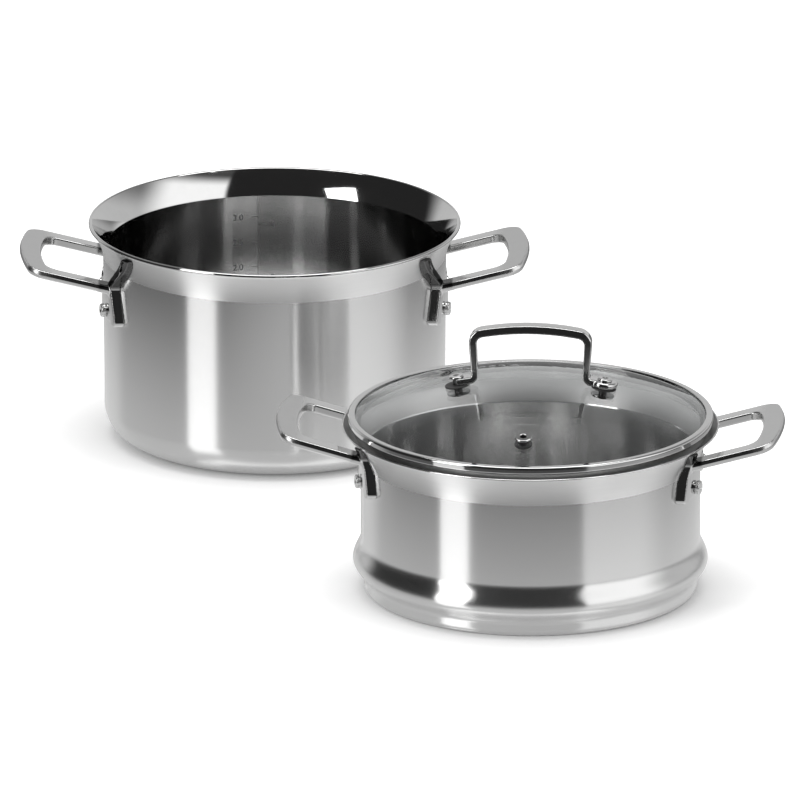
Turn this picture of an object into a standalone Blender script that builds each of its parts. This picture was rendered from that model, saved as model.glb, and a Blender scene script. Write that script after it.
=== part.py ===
"""Steamer pot set: a deep two-handled pot, a perforated steamer insert and a domed glass lid.

The pot stands at the origin with its axis on Z. The steamer stands beside it on the same
table, in front and to the right, and carries the lid. All lengths are metres and all
angles are degrees unless a name says otherwise.
"""
from dataclasses import dataclass
import math

import bmesh
import bpy
from mathutils import Matrix, Vector

# Clearances and fineness
FIT_GAP = 0.0003            # between pieces that touch, rest or seat on each other
HOLE_PLAY = 0.0003          # between a shank and its hole, on the radius
CHORD_ERROR = 0.00025       # furthest that a facet lies off the arc that it stands for
WIDEST_STEP = 45.0          # and the most that one facet turns, however small the arc
LATHE_STEPS = 44            # steps of the large turned pieces, the same on pieces that fit
EYE_STEPS = 16              # steps of the eyes under the lid's rivets
SMALL_STEPS = 12            # steps of rivets, washers and small holes

# Pot. Its radius sets the insert's and the lid's, because they all fit one another
POT_HEIGHT = 0.1300
POT_RADIUS = 0.1027         # outer wall at its top
RIM_SPREAD = 0.0083         # how far the flared rim stands out beyond the wall
POT_DRAFT = 0.0008          # radius that the wall would lose from its top to the table
POT_WALL = 0.0023
POT_CORNER = 0.0200         # outer radius between wall and base
POT_FLARE = 0.0180          # height of the flare under the rim
POT_HANDLE_HEIGHT = 0.1053  # top of the handle's arms at the wall
POT_HANDLE_RISE = 13.8
POT_TURN = 1.0              # handle axis, counter-clockwise from above

# Steamer insert
STEAMER_HEIGHT = 0.1000
STEAMER_INSET = 0.0024      # how far the insert's wall lies inside the pot's
STEAMER_DRAFT = 0.0
STEAMER_WALL = 0.0010
STEAMER_CORNER = 0.0040
STEAMER_FLARE = 0.0185
STEAMER_HANDLE_HEIGHT = 0.0921
STEAMER_HANDLE_RISE = 15.4
STEAMER_TURN = -3.4
STEAMER_PLACE = (0.1520, -0.3055)
SPIGOT_PLAY = 0.0020        # between the spigot and the pot's mouth, on the radius
BEAD_SPREAD = 0.0021        # crest of the bead beyond the pot's wall, to rest in the flare
BEAD_START = 0.0070
BEAD_CREST = 0.0185
BEAD_END = 0.0325
BEAD_STEPS = 3

# Steam holes in the insert's base, in rings round its centre
STEAM_HOLE_RADIUS = 0.0040
STEAM_BORDER = 0.0224       # flat base outside the middles of the outermost holes
STEAM_RING_COUNT = 3
STEAM_RING_GROWTH = 6       # holes that each ring has more than the one inside it
STEAM_HOLE_SIDES = 8

# Side handles, the same loop on both vessels
HANDLE_REACH = 0.0500       # from the wall to the tip
HANDLE_HALF_WIDTH = 0.0430
ARM_WIDTH = 0.0110
ARM_THICK = 0.0040
PAD_LENGTH = 0.0125         # solid end beyond the finger window
TIP_CORNER = 0.0110
WINDOW_CORNER = 0.0080
LEG_DROP = 0.0253           # from the arm's top face down to the leg's foot
LEG_HALF_WIDTH = 0.0450
LEG_THICK = 0.0048
LEG_FILLET = 0.0070         # between the arm's underside and the leg
WING_SPREAD = 0.0150        # how far the saddle widens under the rim
WING_INNER = 0.0310         # half width between the two saddles
TAB_INNER = 0.0170          # half width between the two rivet tabs
TAB_THICK = 0.0024
TAB_ROOF = 0.0080           # from the arm's top face down to the tab
FOOT_CORNER = 0.0045

# Side handle rivets
RIVET_OFFSET = 0.0255       # from the handle's axis
RIVET_DROP = 0.0205         # below the arm's top face
RIVET_SHANK = 0.0024
RIVET_HEAD = 0.0038
RIVET_HEAD_HEIGHT = 0.0016
RIVET_DIMPLE = 0.0015
RIVET_INNER_HEAD = 0.0055
RIVET_INNER_HEIGHT = 0.0013
HEAD_EDGE = 0.0007          # chamfer round every rivet head
DIMPLE_DEPTH = 0.0008
DIMPLE_DRAFT = 0.0003       # a dimple is this much narrower at its bottom

# Lid glass
GLASS_THICK = 0.0030
GLASS_RISE = 0.0200         # crown above the flat edge
GLASS_LAND = 0.0035         # width of the flat edge that the band grips

# Lid band
BAND_INSET = 0.0031         # from the vessels' rims in to the band
BAND_SHEET = 0.0006
BAND_CORNER = 0.0009
SKIRT_INSET = 0.0035        # from the band in to the skirt, which centres the lid
SKIRT_DEPTH = 0.0062
SKIRT_SHEET = 0.0008

# Lid handle
LID_RIVET_SPAN = 0.0430     # from the lid's axis to each rivet
LID_GRIP_RISE = 0.0357      # top of the grip above the glass's crown
LID_GRIP_CROWN = 0.0022
LID_LEG_FOOT = 0.0325       # half width between the legs at the glass
LID_LEG_TOP = 0.0362        # half width of the legs at the grip's corners
LID_STRAP_WIDTH = 0.0105
LID_STRAP_THICK = 0.0040
LID_STRAP_CROWN = 0.0003    # the strap is this much thicker in its middle
LID_STRAP_EDGE = 0.0012     # chamfer along the strap's edges
LID_EYE_RADIUS = 0.0080
LID_EYE_THICK = 0.0044
LID_EYE_EDGE = 0.0012       # rounding round the eye's rim
LID_GRIP_CORNER = 0.0100
LID_FOOT_BEND = 0.0042

# Lid fasteners
LID_SHANK = 0.0024
LID_HEAD = 0.0048
LID_HEAD_HEIGHT = 0.0013
LID_DIMPLE = 0.0018
GASKET_RADIUS = 0.0075
GASKET_THICK = 0.0012
WASHER_RADIUS = 0.0070
WASHER_THICK = 0.0010

# Steam vent in the lid
VENT_INSET = 0.0309         # from the band in to the vent's middle
VENT_SHANK = 0.0034
VENT_FLANGE = 0.0052
VENT_FLANGE_THICK = 0.0013
VENT_BORE = 0.0020

# Radii that follow from the pot's
RIM_RADIUS = POT_RADIUS + RIM_SPREAD
STEAMER_RADIUS = POT_RADIUS - STEAMER_INSET
BEAD_RADIUS = POT_RADIUS + BEAD_SPREAD
BAND_RADIUS = RIM_RADIUS - BAND_INSET
SKIRT_RADIUS = BAND_RADIUS - SKIRT_INSET
VENT_OFFSET = BAND_RADIUS - VENT_INSET

# Colours
STEEL_POLISHED = (0.72, 0.72, 0.72)
STEEL_SATIN = (0.62, 0.62, 0.61)
GLASS_TINT = (0.80, 0.84, 0.83)
SILICONE_GREY = (0.08, 0.08, 0.08)

# Mesh tolerances
POINT_MERGE = 1e-6
FLAT_ANGLE = 0.2            # neighbouring faces flatter than this become one face
SHARP_ANGLE = 30.0          # edges sharper than this stay crisp in shading


@dataclass
class Vessel:
    """The sizes that the wall, its handles and the lid read from a vessel."""
    name: str
    height: float
    radius: float
    draft: float
    wall: float
    flare: float
    handle_height: float
    handle_rise: float

    @property
    def flare_run(self):
        """Distance that the wall moves outwards along the flare."""
        return RIM_RADIUS - self.radius

    @property
    def flare_radius(self):
        """Radius of the flare's arc on the outer face, tangent to the wall."""
        return (self.flare ** 2 + self.flare_run ** 2) / (2 * self.flare_run)

    @property
    def flare_angle(self):
        """Angle of the flare's arc at the rim, from the vertical."""
        return math.asin(self.flare / self.flare_radius)

    def wall_inset(self, height):
        """How far the draft has moved the outer wall inwards at a height."""
        return self.draft * (1 - height / (self.height - self.flare))

    def flare_inner_height(self, radius):
        """Height at which the flare's inner face has the given radius."""
        inner_arc = self.flare_radius + self.wall
        cosine = 1 - (radius - (self.radius - self.wall)) / inner_arc
        return self.height - self.flare + inner_arc * math.sqrt(1 - cosine ** 2)


POT = Vessel('pot', POT_HEIGHT, POT_RADIUS, POT_DRAFT, POT_WALL, POT_FLARE,
             POT_HANDLE_HEIGHT, POT_HANDLE_RISE)
STEAMER = Vessel('steamer', STEAMER_HEIGHT, STEAMER_RADIUS, STEAMER_DRAFT, STEAMER_WALL,
                 STEAMER_FLARE, STEAMER_HANDLE_HEIGHT, STEAMER_HANDLE_RISE)


def clear_scene():
    """Empty the scene, so that the script starts from nothing."""
    for item in list(bpy.data.objects):
        bpy.data.objects.remove(item, do_unlink=True)


def material(name, colour, roughness, metallic=0.0, transmission=0.0):
    """A Principled material with one flat colour."""
    made = bpy.data.materials.new(name)
    made.use_nodes = True
    shader = made.node_tree.nodes['Principled BSDF']
    shader.inputs['Base Color'].default_value = (*colour, 1.0)
    shader.inputs['Roughness'].default_value = roughness
    shader.inputs['Metallic'].default_value = metallic
    shader.inputs['Transmission Weight'].default_value = transmission
    return made


def finish(name, mesh_data, look):
    """Turn a bmesh into a named object with a material, closed and facing outwards."""
    bmesh.ops.remove_doubles(mesh_data, verts=mesh_data.verts, dist=POINT_MERGE)
    bmesh.ops.dissolve_degenerate(mesh_data, edges=mesh_data.edges, dist=POINT_MERGE)
    bmesh.ops.dissolve_limit(mesh_data, angle_limit=math.radians(FLAT_ANGLE),
                             verts=mesh_data.verts, edges=mesh_data.edges)
    bmesh.ops.recalc_face_normals(mesh_data, faces=mesh_data.faces)
    mesh = bpy.data.meshes.new(name)
    mesh_data.to_mesh(mesh)
    mesh_data.free()
    made = bpy.data.objects.new(name, mesh)
    bpy.context.scene.collection.objects.link(made)
    if look is not None:
        mesh.materials.append(look)
    return made


def mount(item, parent, turn=0.0):
    """Shade a finished piece and hang it on its body, turned round the body's axis."""
    item.data.shade_smooth()
    item.data.set_sharp_from_angle(angle=math.radians(SHARP_ANGLE))
    item.rotation_euler.z = math.radians(turn)
    item.parent = parent
    return item


def lathe(name, profile, look=None, steps=LATHE_STEPS):
    """Turn a closed outline of (radius, height) points round Z."""
    turned = bmesh.new()
    points = [turned.verts.new((radius, 0.0, height)) for radius, height in profile]
    edges = [turned.edges.new((points[i], points[i - 1])) for i in range(len(points))]
    bmesh.ops.spin(turned, geom=points + edges, axis=(0, 0, 1), cent=(0, 0, 0),
                   steps=steps, angle=math.tau, use_merge=True)
    return finish(name, turned, look)


def prism(name, outline, depth, axes, look=None):
    """Extrude a flat outline from -depth to +depth along the third of three axes."""
    solid = bmesh.new()
    across, up, along = (Vector(axis) for axis in axes)
    start = [solid.verts.new(across * u + up * v - along * depth) for u, v in outline]
    base = solid.faces.new(start)
    swept = bmesh.ops.extrude_face_region(solid, geom=[base])
    moved = [item for item in swept['geom'] if isinstance(item, bmesh.types.BMVert)]
    bmesh.ops.translate(solid, verts=moved, vec=along * depth * 2)
    return finish(name, solid, look)


def boolean(target, other, operation):
    """Join, cut or intersect two solids for good, and drop the second one."""
    change = target.modifiers.new('shape', 'BOOLEAN')
    change.operation = operation
    change.solver = 'EXACT'
    change.object = other
    graph = bpy.context.evaluated_depsgraph_get()
    result = bpy.data.meshes.new_from_object(target.evaluated_get(graph))
    target.modifiers.clear()
    target.data = result
    bpy.data.objects.remove(other, do_unlink=True)
    return target


def place(item, matrix):
    """Move the points of a solid, so that its own origin stays where it was."""
    item.data.transform(matrix)
    return item


def arc_steps(radius, angle):
    """Facets that an arc needs to stay within the chord error."""
    widest = math.degrees(2 * math.acos(max(0.0, 1 - CHORD_ERROR / radius)))
    return max(1, math.ceil(abs(angle) / min(widest, WIDEST_STEP)))


def arc(centre, radius, start, end):
    """Points on an arc in the outline's plane, both ends included."""
    steps = arc_steps(radius, end - start)
    angles = [math.radians(start + (end - start) * i / steps) for i in range(steps + 1)]
    return [(centre[0] + radius * math.cos(a), centre[1] + radius * math.sin(a))
            for a in angles]


def rounded(corners):
    """An outline whose corners, given as (x, y, radius), are rounded by arcs."""
    outline = []
    for index, (x, y, radius) in enumerate(corners):
        here = Vector((x, y))
        before = Vector(corners[index - 1][:2]) - here
        after = Vector(corners[(index + 1) % len(corners)][:2]) - here
        if radius <= 0:
            outline.append((x, y))
            continue
        half = before.angle(after) / 2
        centre = here + (before.normalized() + after.normalized()).normalized() * (
            radius / math.sin(half))
        first = here + before.normalized() * (radius / math.tan(half)) - centre
        last = here + after.normalized() * (radius / math.tan(half)) - centre
        turn = first.angle_signed(last)
        steps = arc_steps(radius, math.degrees(turn))
        for i in range(steps + 1):
            spoke = first.copy()
            spoke.rotate(Matrix.Rotation(-turn * i / steps, 2))
            outline.append(tuple(centre + spoke))
    return outline


def flare_path(vessel):
    """Outer face of the flare, from the top of the wall to the rim."""
    centre = (vessel.radius + vessel.flare_radius, vessel.height - vessel.flare)
    return arc(centre, vessel.flare_radius, 180.0, 180.0 - math.degrees(vessel.flare_angle))


def thicken(path, wall):
    """Close an outer path into a sheet of the given wall, with a round lip at its end.

    The path starts on the axis and ends at the rim. Each inner point lies one wall
    away from its outer point, at right angles to the path.
    """
    outer = [Vector(point) for point in path]
    inner = []
    for index, point in enumerate(outer):
        ahead = outer[min(index + 1, len(outer) - 1)]
        behind = outer[max(index - 1, 0)]
        along = (ahead - behind).normalized()
        normal = Vector((-along.y, along.x))
        inner.append(point + normal * wall)
    inner[0] = Vector((0.0, inner[0].y))
    last = (outer[-1] - outer[-2]).normalized()
    middle = (outer[-1] + inner[-1]) / 2
    side = outer[-1] - middle
    lip = [middle + side * math.cos(a) + last * (wall / 2) * math.sin(a)
           for a in (math.pi / 4, math.pi / 2, math.pi * 3 / 4)]
    return [tuple(point) for point in outer + lip + inner[::-1]]


def pot_path():
    """Outer face of the pot from the middle of its base to the rim."""
    foot = POT_RADIUS - POT.wall_inset(POT_CORNER)
    corner = arc((foot - POT_CORNER, POT_CORNER), POT_CORNER, -90.0, 0.0)
    return [(0.0, 0.0)] + corner + flare_path(POT)


def spigot_radius():
    """Outer radius of the spigot, which drops into the pot's mouth."""
    return POT_RADIUS - POT_WALL - SPIGOT_PLAY


def bead(start, end, low, high):
    """A smooth S-curve between two radii, without its first point."""
    points = []
    for i in range(1, BEAD_STEPS + 1):
        share = i / BEAD_STEPS
        blend = (1 - math.cos(math.pi * share)) / 2
        points.append((low + (high - low) * blend, start + (end - start) * share))
    return points


def steamer_path():
    """Outer face of the insert: base, corner, spigot, bead, wall and flare."""
    spigot = spigot_radius()
    corner = arc((spigot - STEAMER_CORNER, STEAMER_CORNER), STEAMER_CORNER, -90.0, 0.0)
    lower = bead(BEAD_START, BEAD_CREST, spigot, BEAD_RADIUS)
    top = STEAMER_RADIUS - STEAMER.wall_inset(BEAD_END)
    upper = bead(BEAD_CREST, BEAD_END, BEAD_RADIUS, top)
    return ([(0.0, 0.0)] + corner + [(spigot, BEAD_START)] + lower + upper
            + flare_path(STEAMER))


def wall_clearance(vessel):
    """A solid a fit gap larger than the wall's outside, to cut handles to its curve."""
    face = [(radius + FIT_GAP, height) for radius, height in flare_path(vessel)]
    top = vessel.height + vessel.flare
    outline = [(0.0, 0.0), (vessel.radius + FIT_GAP, 0.0)] + face
    outline += [(RIM_RADIUS + FIT_GAP, top), (0.0, top)]
    return lathe('wall_clearance', outline)


def rivet_turn(vessel):
    """Angle round the vessel's axis between a handle's axis and its rivets."""
    return math.asin(RIVET_OFFSET / vessel.radius)


def rivet_frame(vessel, side):
    """Frame on the wall's outer face with +Z along the rivet, pointing outwards."""
    height = vessel.handle_height - RIVET_DROP
    spin = Matrix.Rotation(side * rivet_turn(vessel), 4, 'Z')
    out = Matrix.Translation((vessel.radius, 0.0, height)) @ Matrix.Rotation(
        math.radians(90), 4, 'Y')
    return spin @ out


def loop_outline(root, tip, half, corner):
    """Seen from above: parallel sides, and an end round the vessel's axis.

    The end is an arc with its centre on the axis, and fillets join it to the sides.
    """
    across = half - corner
    reach = math.sqrt((tip - corner) ** 2 - across ** 2)
    bend = math.degrees(math.atan2(across, reach))
    near = arc((reach, -across), corner, -90.0, -bend)
    end = arc((0.0, 0.0), tip, -bend, bend)
    far = arc((reach, across), corner, bend, 90.0)
    return [(root, -half)] + near + end[1:-1] + far + [(root, half)]


def handle_root(vessel):
    """Where the loop's arms start, well inside the wall that they are trimmed to."""
    return math.sqrt(vessel.radius ** 2 - LEG_HALF_WIDTH ** 2) - ARM_WIDTH


def handle_side(vessel):
    """Seen from the side: the rising arm, and the fillet where it turns down the leg."""
    slope = math.tan(math.radians(vessel.handle_rise))
    root = handle_root(vessel)
    end = vessel.radius + HANDLE_REACH + ARM_WIDTH
    middle = HANDLE_HALF_WIDTH - ARM_WIDTH / 2
    leg = math.sqrt((vessel.radius + LEG_THICK) ** 2 - middle ** 2)
    top = vessel.handle_height
    thick = ARM_THICK / math.cos(math.radians(vessel.handle_rise))
    under = top + (leg - vessel.radius) * slope - thick
    return rounded([(root, top + (root - vessel.radius) * slope, 0),
                    (root, top - LEG_DROP / 2 - thick, 0),
                    (leg, top - LEG_DROP / 2 - thick, 0),
                    (leg, under, LEG_FILLET),
                    (end, under + (end - leg) * slope, 0),
                    (end, top + (end - vessel.radius) * slope, 0)])


def saddle(vessel, side):
    """Leg and saddle on one side of the handle: straight below the arm, wider above."""
    foot = vessel.handle_height - LEG_DROP
    roof = vessel.height - vessel.wall
    waist = vessel.handle_height - ARM_THICK
    spread = WING_SPREAD * (roof - waist) / (POT_HEIGHT - POT_HANDLE_HEIGHT)
    inner = HANDLE_HALF_WIDTH - ARM_WIDTH
    bend = min(FOOT_CORNER, (roof - waist) / 3)
    outline = rounded([(inner, foot, 0), (LEG_HALF_WIDTH, foot, FOOT_CORNER),
                       (LEG_HALF_WIDTH, waist, bend * 2),
                       (LEG_HALF_WIDTH + spread, roof, 0), (WING_INNER, roof, 0),
                       (WING_INNER, waist, 0), (inner, waist - ARM_THICK, 0)])
    outline = [(side * across, height) for across, height in outline]
    return plate(vessel, outline, LEG_THICK)


def rivet_tab(vessel, side):
    """Thin tab from the leg towards the handle's axis, which the rivet holds."""
    foot = vessel.handle_height - LEG_DROP
    roof = vessel.handle_height - TAB_ROOF
    outer = HANDLE_HALF_WIDTH - ARM_WIDTH / 2
    outline = rounded([(TAB_INNER, foot, FOOT_CORNER), (outer, foot, 0),
                       (outer, roof, 0), (TAB_INNER, roof, FOOT_CORNER)])
    outline = [(side * across, height) for across, height in outline]
    return plate(vessel, outline, TAB_THICK)


def plate(vessel, outline, thick):
    """An outline seen along X, given a curved outer face one thickness off the wall."""
    blank = prism('plate', outline, HANDLE_REACH, ((0, 1, 0), (0, 0, 1), (1, 0, 0)))
    place(blank, Matrix.Translation((vessel.radius, 0, 0)))
    top = vessel.height + vessel.flare
    face = vessel.radius + thick
    hull = lathe('plate_hull', [(0, 0), (face, 0), (face, top), (0, top)])
    return boolean(blank, hull, 'INTERSECT')


def side_handle(vessel, name, angle, look, parent):
    """Forged loop handle: window, rising arms, legs, saddles and rivet tabs in one piece."""
    flat = ((1, 0, 0), (0, 1, 0), (0, 0, 1))
    upright = ((1, 0, 0), (0, 0, 1), (0, 1, 0))
    root = handle_root(vessel)
    tip = vessel.radius + HANDLE_REACH
    tall = vessel.height * 2
    outer = loop_outline(root, tip, HANDLE_HALF_WIDTH, TIP_CORNER)
    window = loop_outline(root - ARM_WIDTH, tip - PAD_LENGTH,
                          HANDLE_HALF_WIDTH - ARM_WIDTH, WINDOW_CORNER)
    made = prism(name, outer, tall, flat, look)
    made = boolean(made, prism('window', window, tall + ARM_WIDTH, flat), 'DIFFERENCE')
    side_view = prism('side', handle_side(vessel), LEG_HALF_WIDTH + ARM_WIDTH, upright)
    made = boolean(made, side_view, 'INTERSECT')
    for side in (-1, 1):
        made = boolean(made, saddle(vessel, side), 'UNION')
        made = boolean(made, rivet_tab(vessel, side), 'UNION')
    made = boolean(made, wall_clearance(vessel), 'DIFFERENCE')
    for side in (-1, 1):
        made = boolean(made, rivet_hole(vessel, side), 'DIFFERENCE')
    return mount(made, parent, angle)


def rivet_hole(vessel, side):
    """Cutter for the hole that a rivet's shank passes through."""
    radius = RIVET_SHANK + HOLE_PLAY
    reach = LEG_HALF_WIDTH / 2
    outline = [(0, -reach), (radius, -reach), (radius, reach), (0, reach)]
    return place(lathe('rivet_hole', outline, steps=SMALL_STEPS), rivet_frame(vessel, side))


def rivet_head(radius, low, height, dimple):
    """Outline of a dimpled head from its seat at the given height to its middle."""
    top = low + height
    floor = top - DIMPLE_DEPTH
    return [(radius, low), (radius, top - HEAD_EDGE), (radius - HEAD_EDGE, top),
            (dimple, top), (dimple - DIMPLE_DRAFT, floor), (0, floor)]


def rivet_tail(radius, seat, height):
    """Outline of a low button head from its middle to its seat, facing the other way."""
    return [(0, seat - height), (radius - height, seat - height + HEAD_EDGE / 2),
            (radius, seat)]


def side_rivet(vessel, name, side, angle, look, parent):
    """Rivet through tab and wall: dimpled head outside, low button inside the vessel."""
    seat = TAB_THICK + FIT_GAP * 2
    inner = vessel.radius - vessel.wall
    sag = RIVET_INNER_HEAD ** 2 / (2 * inner) + inner * (1 - math.cos(math.pi / LATHE_STEPS))
    inset = vessel.wall_inset(vessel.handle_height - RIVET_DROP - RIVET_INNER_HEAD)
    back = -vessel.wall - FIT_GAP - sag - inset
    outline = rivet_tail(RIVET_INNER_HEAD, back, RIVET_INNER_HEIGHT)
    outline += [(RIVET_SHANK, back), (RIVET_SHANK, seat)]
    outline += rivet_head(RIVET_HEAD, seat, RIVET_HEAD_HEIGHT, RIVET_DIMPLE)
    made = place(lathe(name, outline, look, SMALL_STEPS), rivet_frame(vessel, side))
    return mount(made, parent, angle)


def add_handles(vessel, looks, parent):
    """Two handles on opposite sides, each with a front and a back rivet."""
    for label, angle in (('right', 0.0), ('left', 180.0)):
        side_handle(vessel, f'{vessel.name}_handle_{label}', angle, looks['polished'], parent)
        for place_label, side in (('front', -1), ('back', 1)):
            turned = side if label == 'right' else -side
            side_rivet(vessel, f'{vessel.name}_rivet_{label}_{place_label}', turned, angle,
                       looks['polished'], parent)


def drill_wall(vessel, body):
    """Cut the four rivet holes in a vessel's wall."""
    for angle in (0.0, 180.0):
        for side in (-1, 1):
            hole = rivet_hole(vessel, side)
            place(hole, Matrix.Rotation(math.radians(angle), 4, 'Z'))
            boolean(body, hole, 'DIFFERENCE')


def pot_body(looks, parent):
    """Deep drawn pot with a large corner radius, drafted wall and flared pouring rim."""
    made = lathe('pot_body', thicken(pot_path(), POT_WALL), looks['satin'])
    drill_wall(POT, made)
    return mount(made, parent)


def steam_holes():
    """All the steam holes as one cutter. Every other ring is turned by half a hole."""
    drills = bmesh.new()
    pitch = (spigot_radius() - STEAMER_CORNER - STEAM_BORDER) / STEAM_RING_COUNT
    for number in range(1, STEAM_RING_COUNT + 1):
        count = STEAM_RING_GROWTH * number
        reach = pitch * number
        for index in range(count):
            angle = math.tau * (index + number % 2 / 2) / count
            spot = Matrix.Translation((reach * math.cos(angle), reach * math.sin(angle), 0))
            bmesh.ops.create_cone(drills, cap_ends=True, segments=STEAM_HOLE_SIDES,
                                  radius1=STEAM_HOLE_RADIUS, radius2=STEAM_HOLE_RADIUS,
                                  depth=STEAMER_WALL * 4, matrix=spot)
    return finish('steam_holes', drills, None)


def steamer_body(looks, parent):
    """Thin drawn insert: perforated base, spigot, bead, straight wall and flared rim."""
    made = lathe('steamer_body', thicken(steamer_path(), STEAMER_WALL), looks['satin'])
    boolean(made, steam_holes(), 'DIFFERENCE')
    drill_wall(STEAMER, made)
    return mount(made, parent)


def skirt_foot():
    """Height of the lid's skirt above the steamer's base, seated in the flare."""
    return STEAMER.flare_inner_height(SKIRT_RADIUS) + FIT_GAP * 2


def band_floor():
    """Height of the band's underside."""
    return skirt_foot() + SKIRT_DEPTH


def glass_foot():
    """Height of the underside of the glass at its flat edge."""
    return band_floor() + BAND_SHEET + FIT_GAP


def glass_edge():
    """Outer radius of the glass."""
    return BAND_RADIUS - BAND_SHEET - FIT_GAP


def dome_radius():
    """Radius of the outer face of the dome, between crown and flat edge."""
    reach = glass_edge() - GLASS_LAND
    return (reach ** 2 + GLASS_RISE ** 2) / (2 * GLASS_RISE)


def crown_height():
    """Height of the middle of the dome's outer face."""
    return glass_foot() + GLASS_THICK + GLASS_RISE


def dome_frame(radius, bearing):
    """Frame on the dome's outer face, with +Z square to the glass."""
    tilt = math.asin(radius / dome_radius())
    centre = crown_height() - dome_radius()
    spin = Matrix.Rotation(math.radians(bearing), 4, 'Z')
    lean = Matrix.Rotation(tilt, 4, 'Y')
    return Matrix.Translation((0, 0, centre)) @ spin @ lean @ Matrix.Translation(
        (0, 0, dome_radius()))


def lid_glass(looks, parent):
    """Tempered dome with a flat edge and holes for the vent and the handle's rivets."""
    centre = (0.0, crown_height() - dome_radius())
    reach = glass_edge() - GLASS_LAND
    spread = math.degrees(math.asin(reach / dome_radius()))
    outer = arc(centre, dome_radius(), 90.0, 90.0 - spread)
    inner = arc(centre, dome_radius() - GLASS_THICK, 90.0, 90.0 - spread)
    edge = glass_edge()
    top = glass_foot() + GLASS_THICK
    chamfer = GLASS_THICK / 4
    inner[0] = (0.0, inner[0][1])
    outer[0] = (0.0, outer[0][1])
    inner[-1] = (reach - GLASS_THICK / 2, glass_foot())
    outline = outer + [(edge - chamfer, top), (edge, top - chamfer),
                       (edge, glass_foot() + chamfer), (edge - chamfer, glass_foot())]
    made = lathe('lid_glass', outline + inner[::-1], looks['glass'])
    for bearing in (0.0, 180.0):
        boolean(made, glass_hole(LID_SHANK, LID_RIVET_SPAN, bearing), 'DIFFERENCE')
    boolean(made, glass_hole(VENT_SHANK, VENT_OFFSET, -90.0), 'DIFFERENCE')
    return mount(made, parent)


def glass_hole(shank, radius, bearing):
    """Cutter for a hole square to the glass."""
    size = shank + HOLE_PLAY
    deep = GLASS_THICK * 3
    outline = [(0, -deep), (size, -deep), (size, deep), (0, deep)]
    return place(lathe('glass_hole', outline, steps=SMALL_STEPS), dome_frame(radius, bearing))


def lid_band(looks, parent):
    """Steel band rolled round the edge of the glass, with the skirt that seats the lid."""
    foot = skirt_foot()
    floor = band_floor()
    roof = glass_foot() + GLASS_THICK + FIT_GAP + BAND_SHEET
    channel = BAND_RADIUS - BAND_SHEET
    lip = glass_edge() - GLASS_LAND
    skirt_inner = SKIRT_RADIUS - SKIRT_SHEET
    outline = rounded([(skirt_inner, foot, 0), (SKIRT_RADIUS, foot, 0),
                       (SKIRT_RADIUS, floor, 0), (BAND_RADIUS, floor, BAND_CORNER),
                       (BAND_RADIUS, roof, BAND_CORNER), (lip, roof, 0),
                       (lip, roof - BAND_SHEET, 0), (channel, roof - BAND_SHEET, 0),
                       (channel, floor + BAND_SHEET, 0),
                       (skirt_inner, floor + BAND_SHEET, 0)])
    return mount(lathe('lid_band', outline, looks['polished']), parent)


def lid_stack():
    """Heights of the pieces on a lid rivet, along the normal from the glass outwards."""
    gasket = FIT_GAP
    eye = gasket + GASKET_THICK + FIT_GAP
    head = eye + LID_EYE_THICK + FIT_GAP
    washer = -GLASS_THICK - FIT_GAP - WASHER_THICK
    tail = washer - FIT_GAP
    return gasket, eye, head, washer, tail


def sweep(name, path, half_width, half_thick, look):
    """Sweep a crowned strap section along a path in the XZ plane, with flat ends."""
    strap = bmesh.new()
    rings = []
    for index, point in enumerate(path):
        ahead = Vector(path[min(index + 1, len(path) - 1)])
        behind = Vector(path[max(index - 1, 0)])
        along = (ahead - behind).normalized()
        normal = Vector((-along.y, along.x))
        ring = []
        for across, out in strap_section(half_width, half_thick):
            spot = Vector(point) + normal * out
            ring.append(strap.verts.new((spot.x, across, spot.y)))
        rings.append(ring)
    for first, second in zip(rings, rings[1:]):
        for i in range(len(first)):
            strap.faces.new((first[i - 1], first[i], second[i], second[i - 1]))
    strap.faces.new(rings[0])
    strap.faces.new(rings[-1])
    return finish(name, strap, look)


def strap_section(half_width, half_thick):
    """Section of the lid's strap: crowned faces and chamfered edges."""
    quarter = [(half_width - LID_STRAP_EDGE, half_thick - LID_STRAP_CROWN),
               (half_width, half_thick - LID_STRAP_EDGE)]
    right = quarter + [(x, -y) for x, y in quarter[::-1]]
    left = [(-x, -y) for x, y in right]
    return [(0.0, half_thick)] + right + [(0.0, -half_thick)] + left


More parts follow.
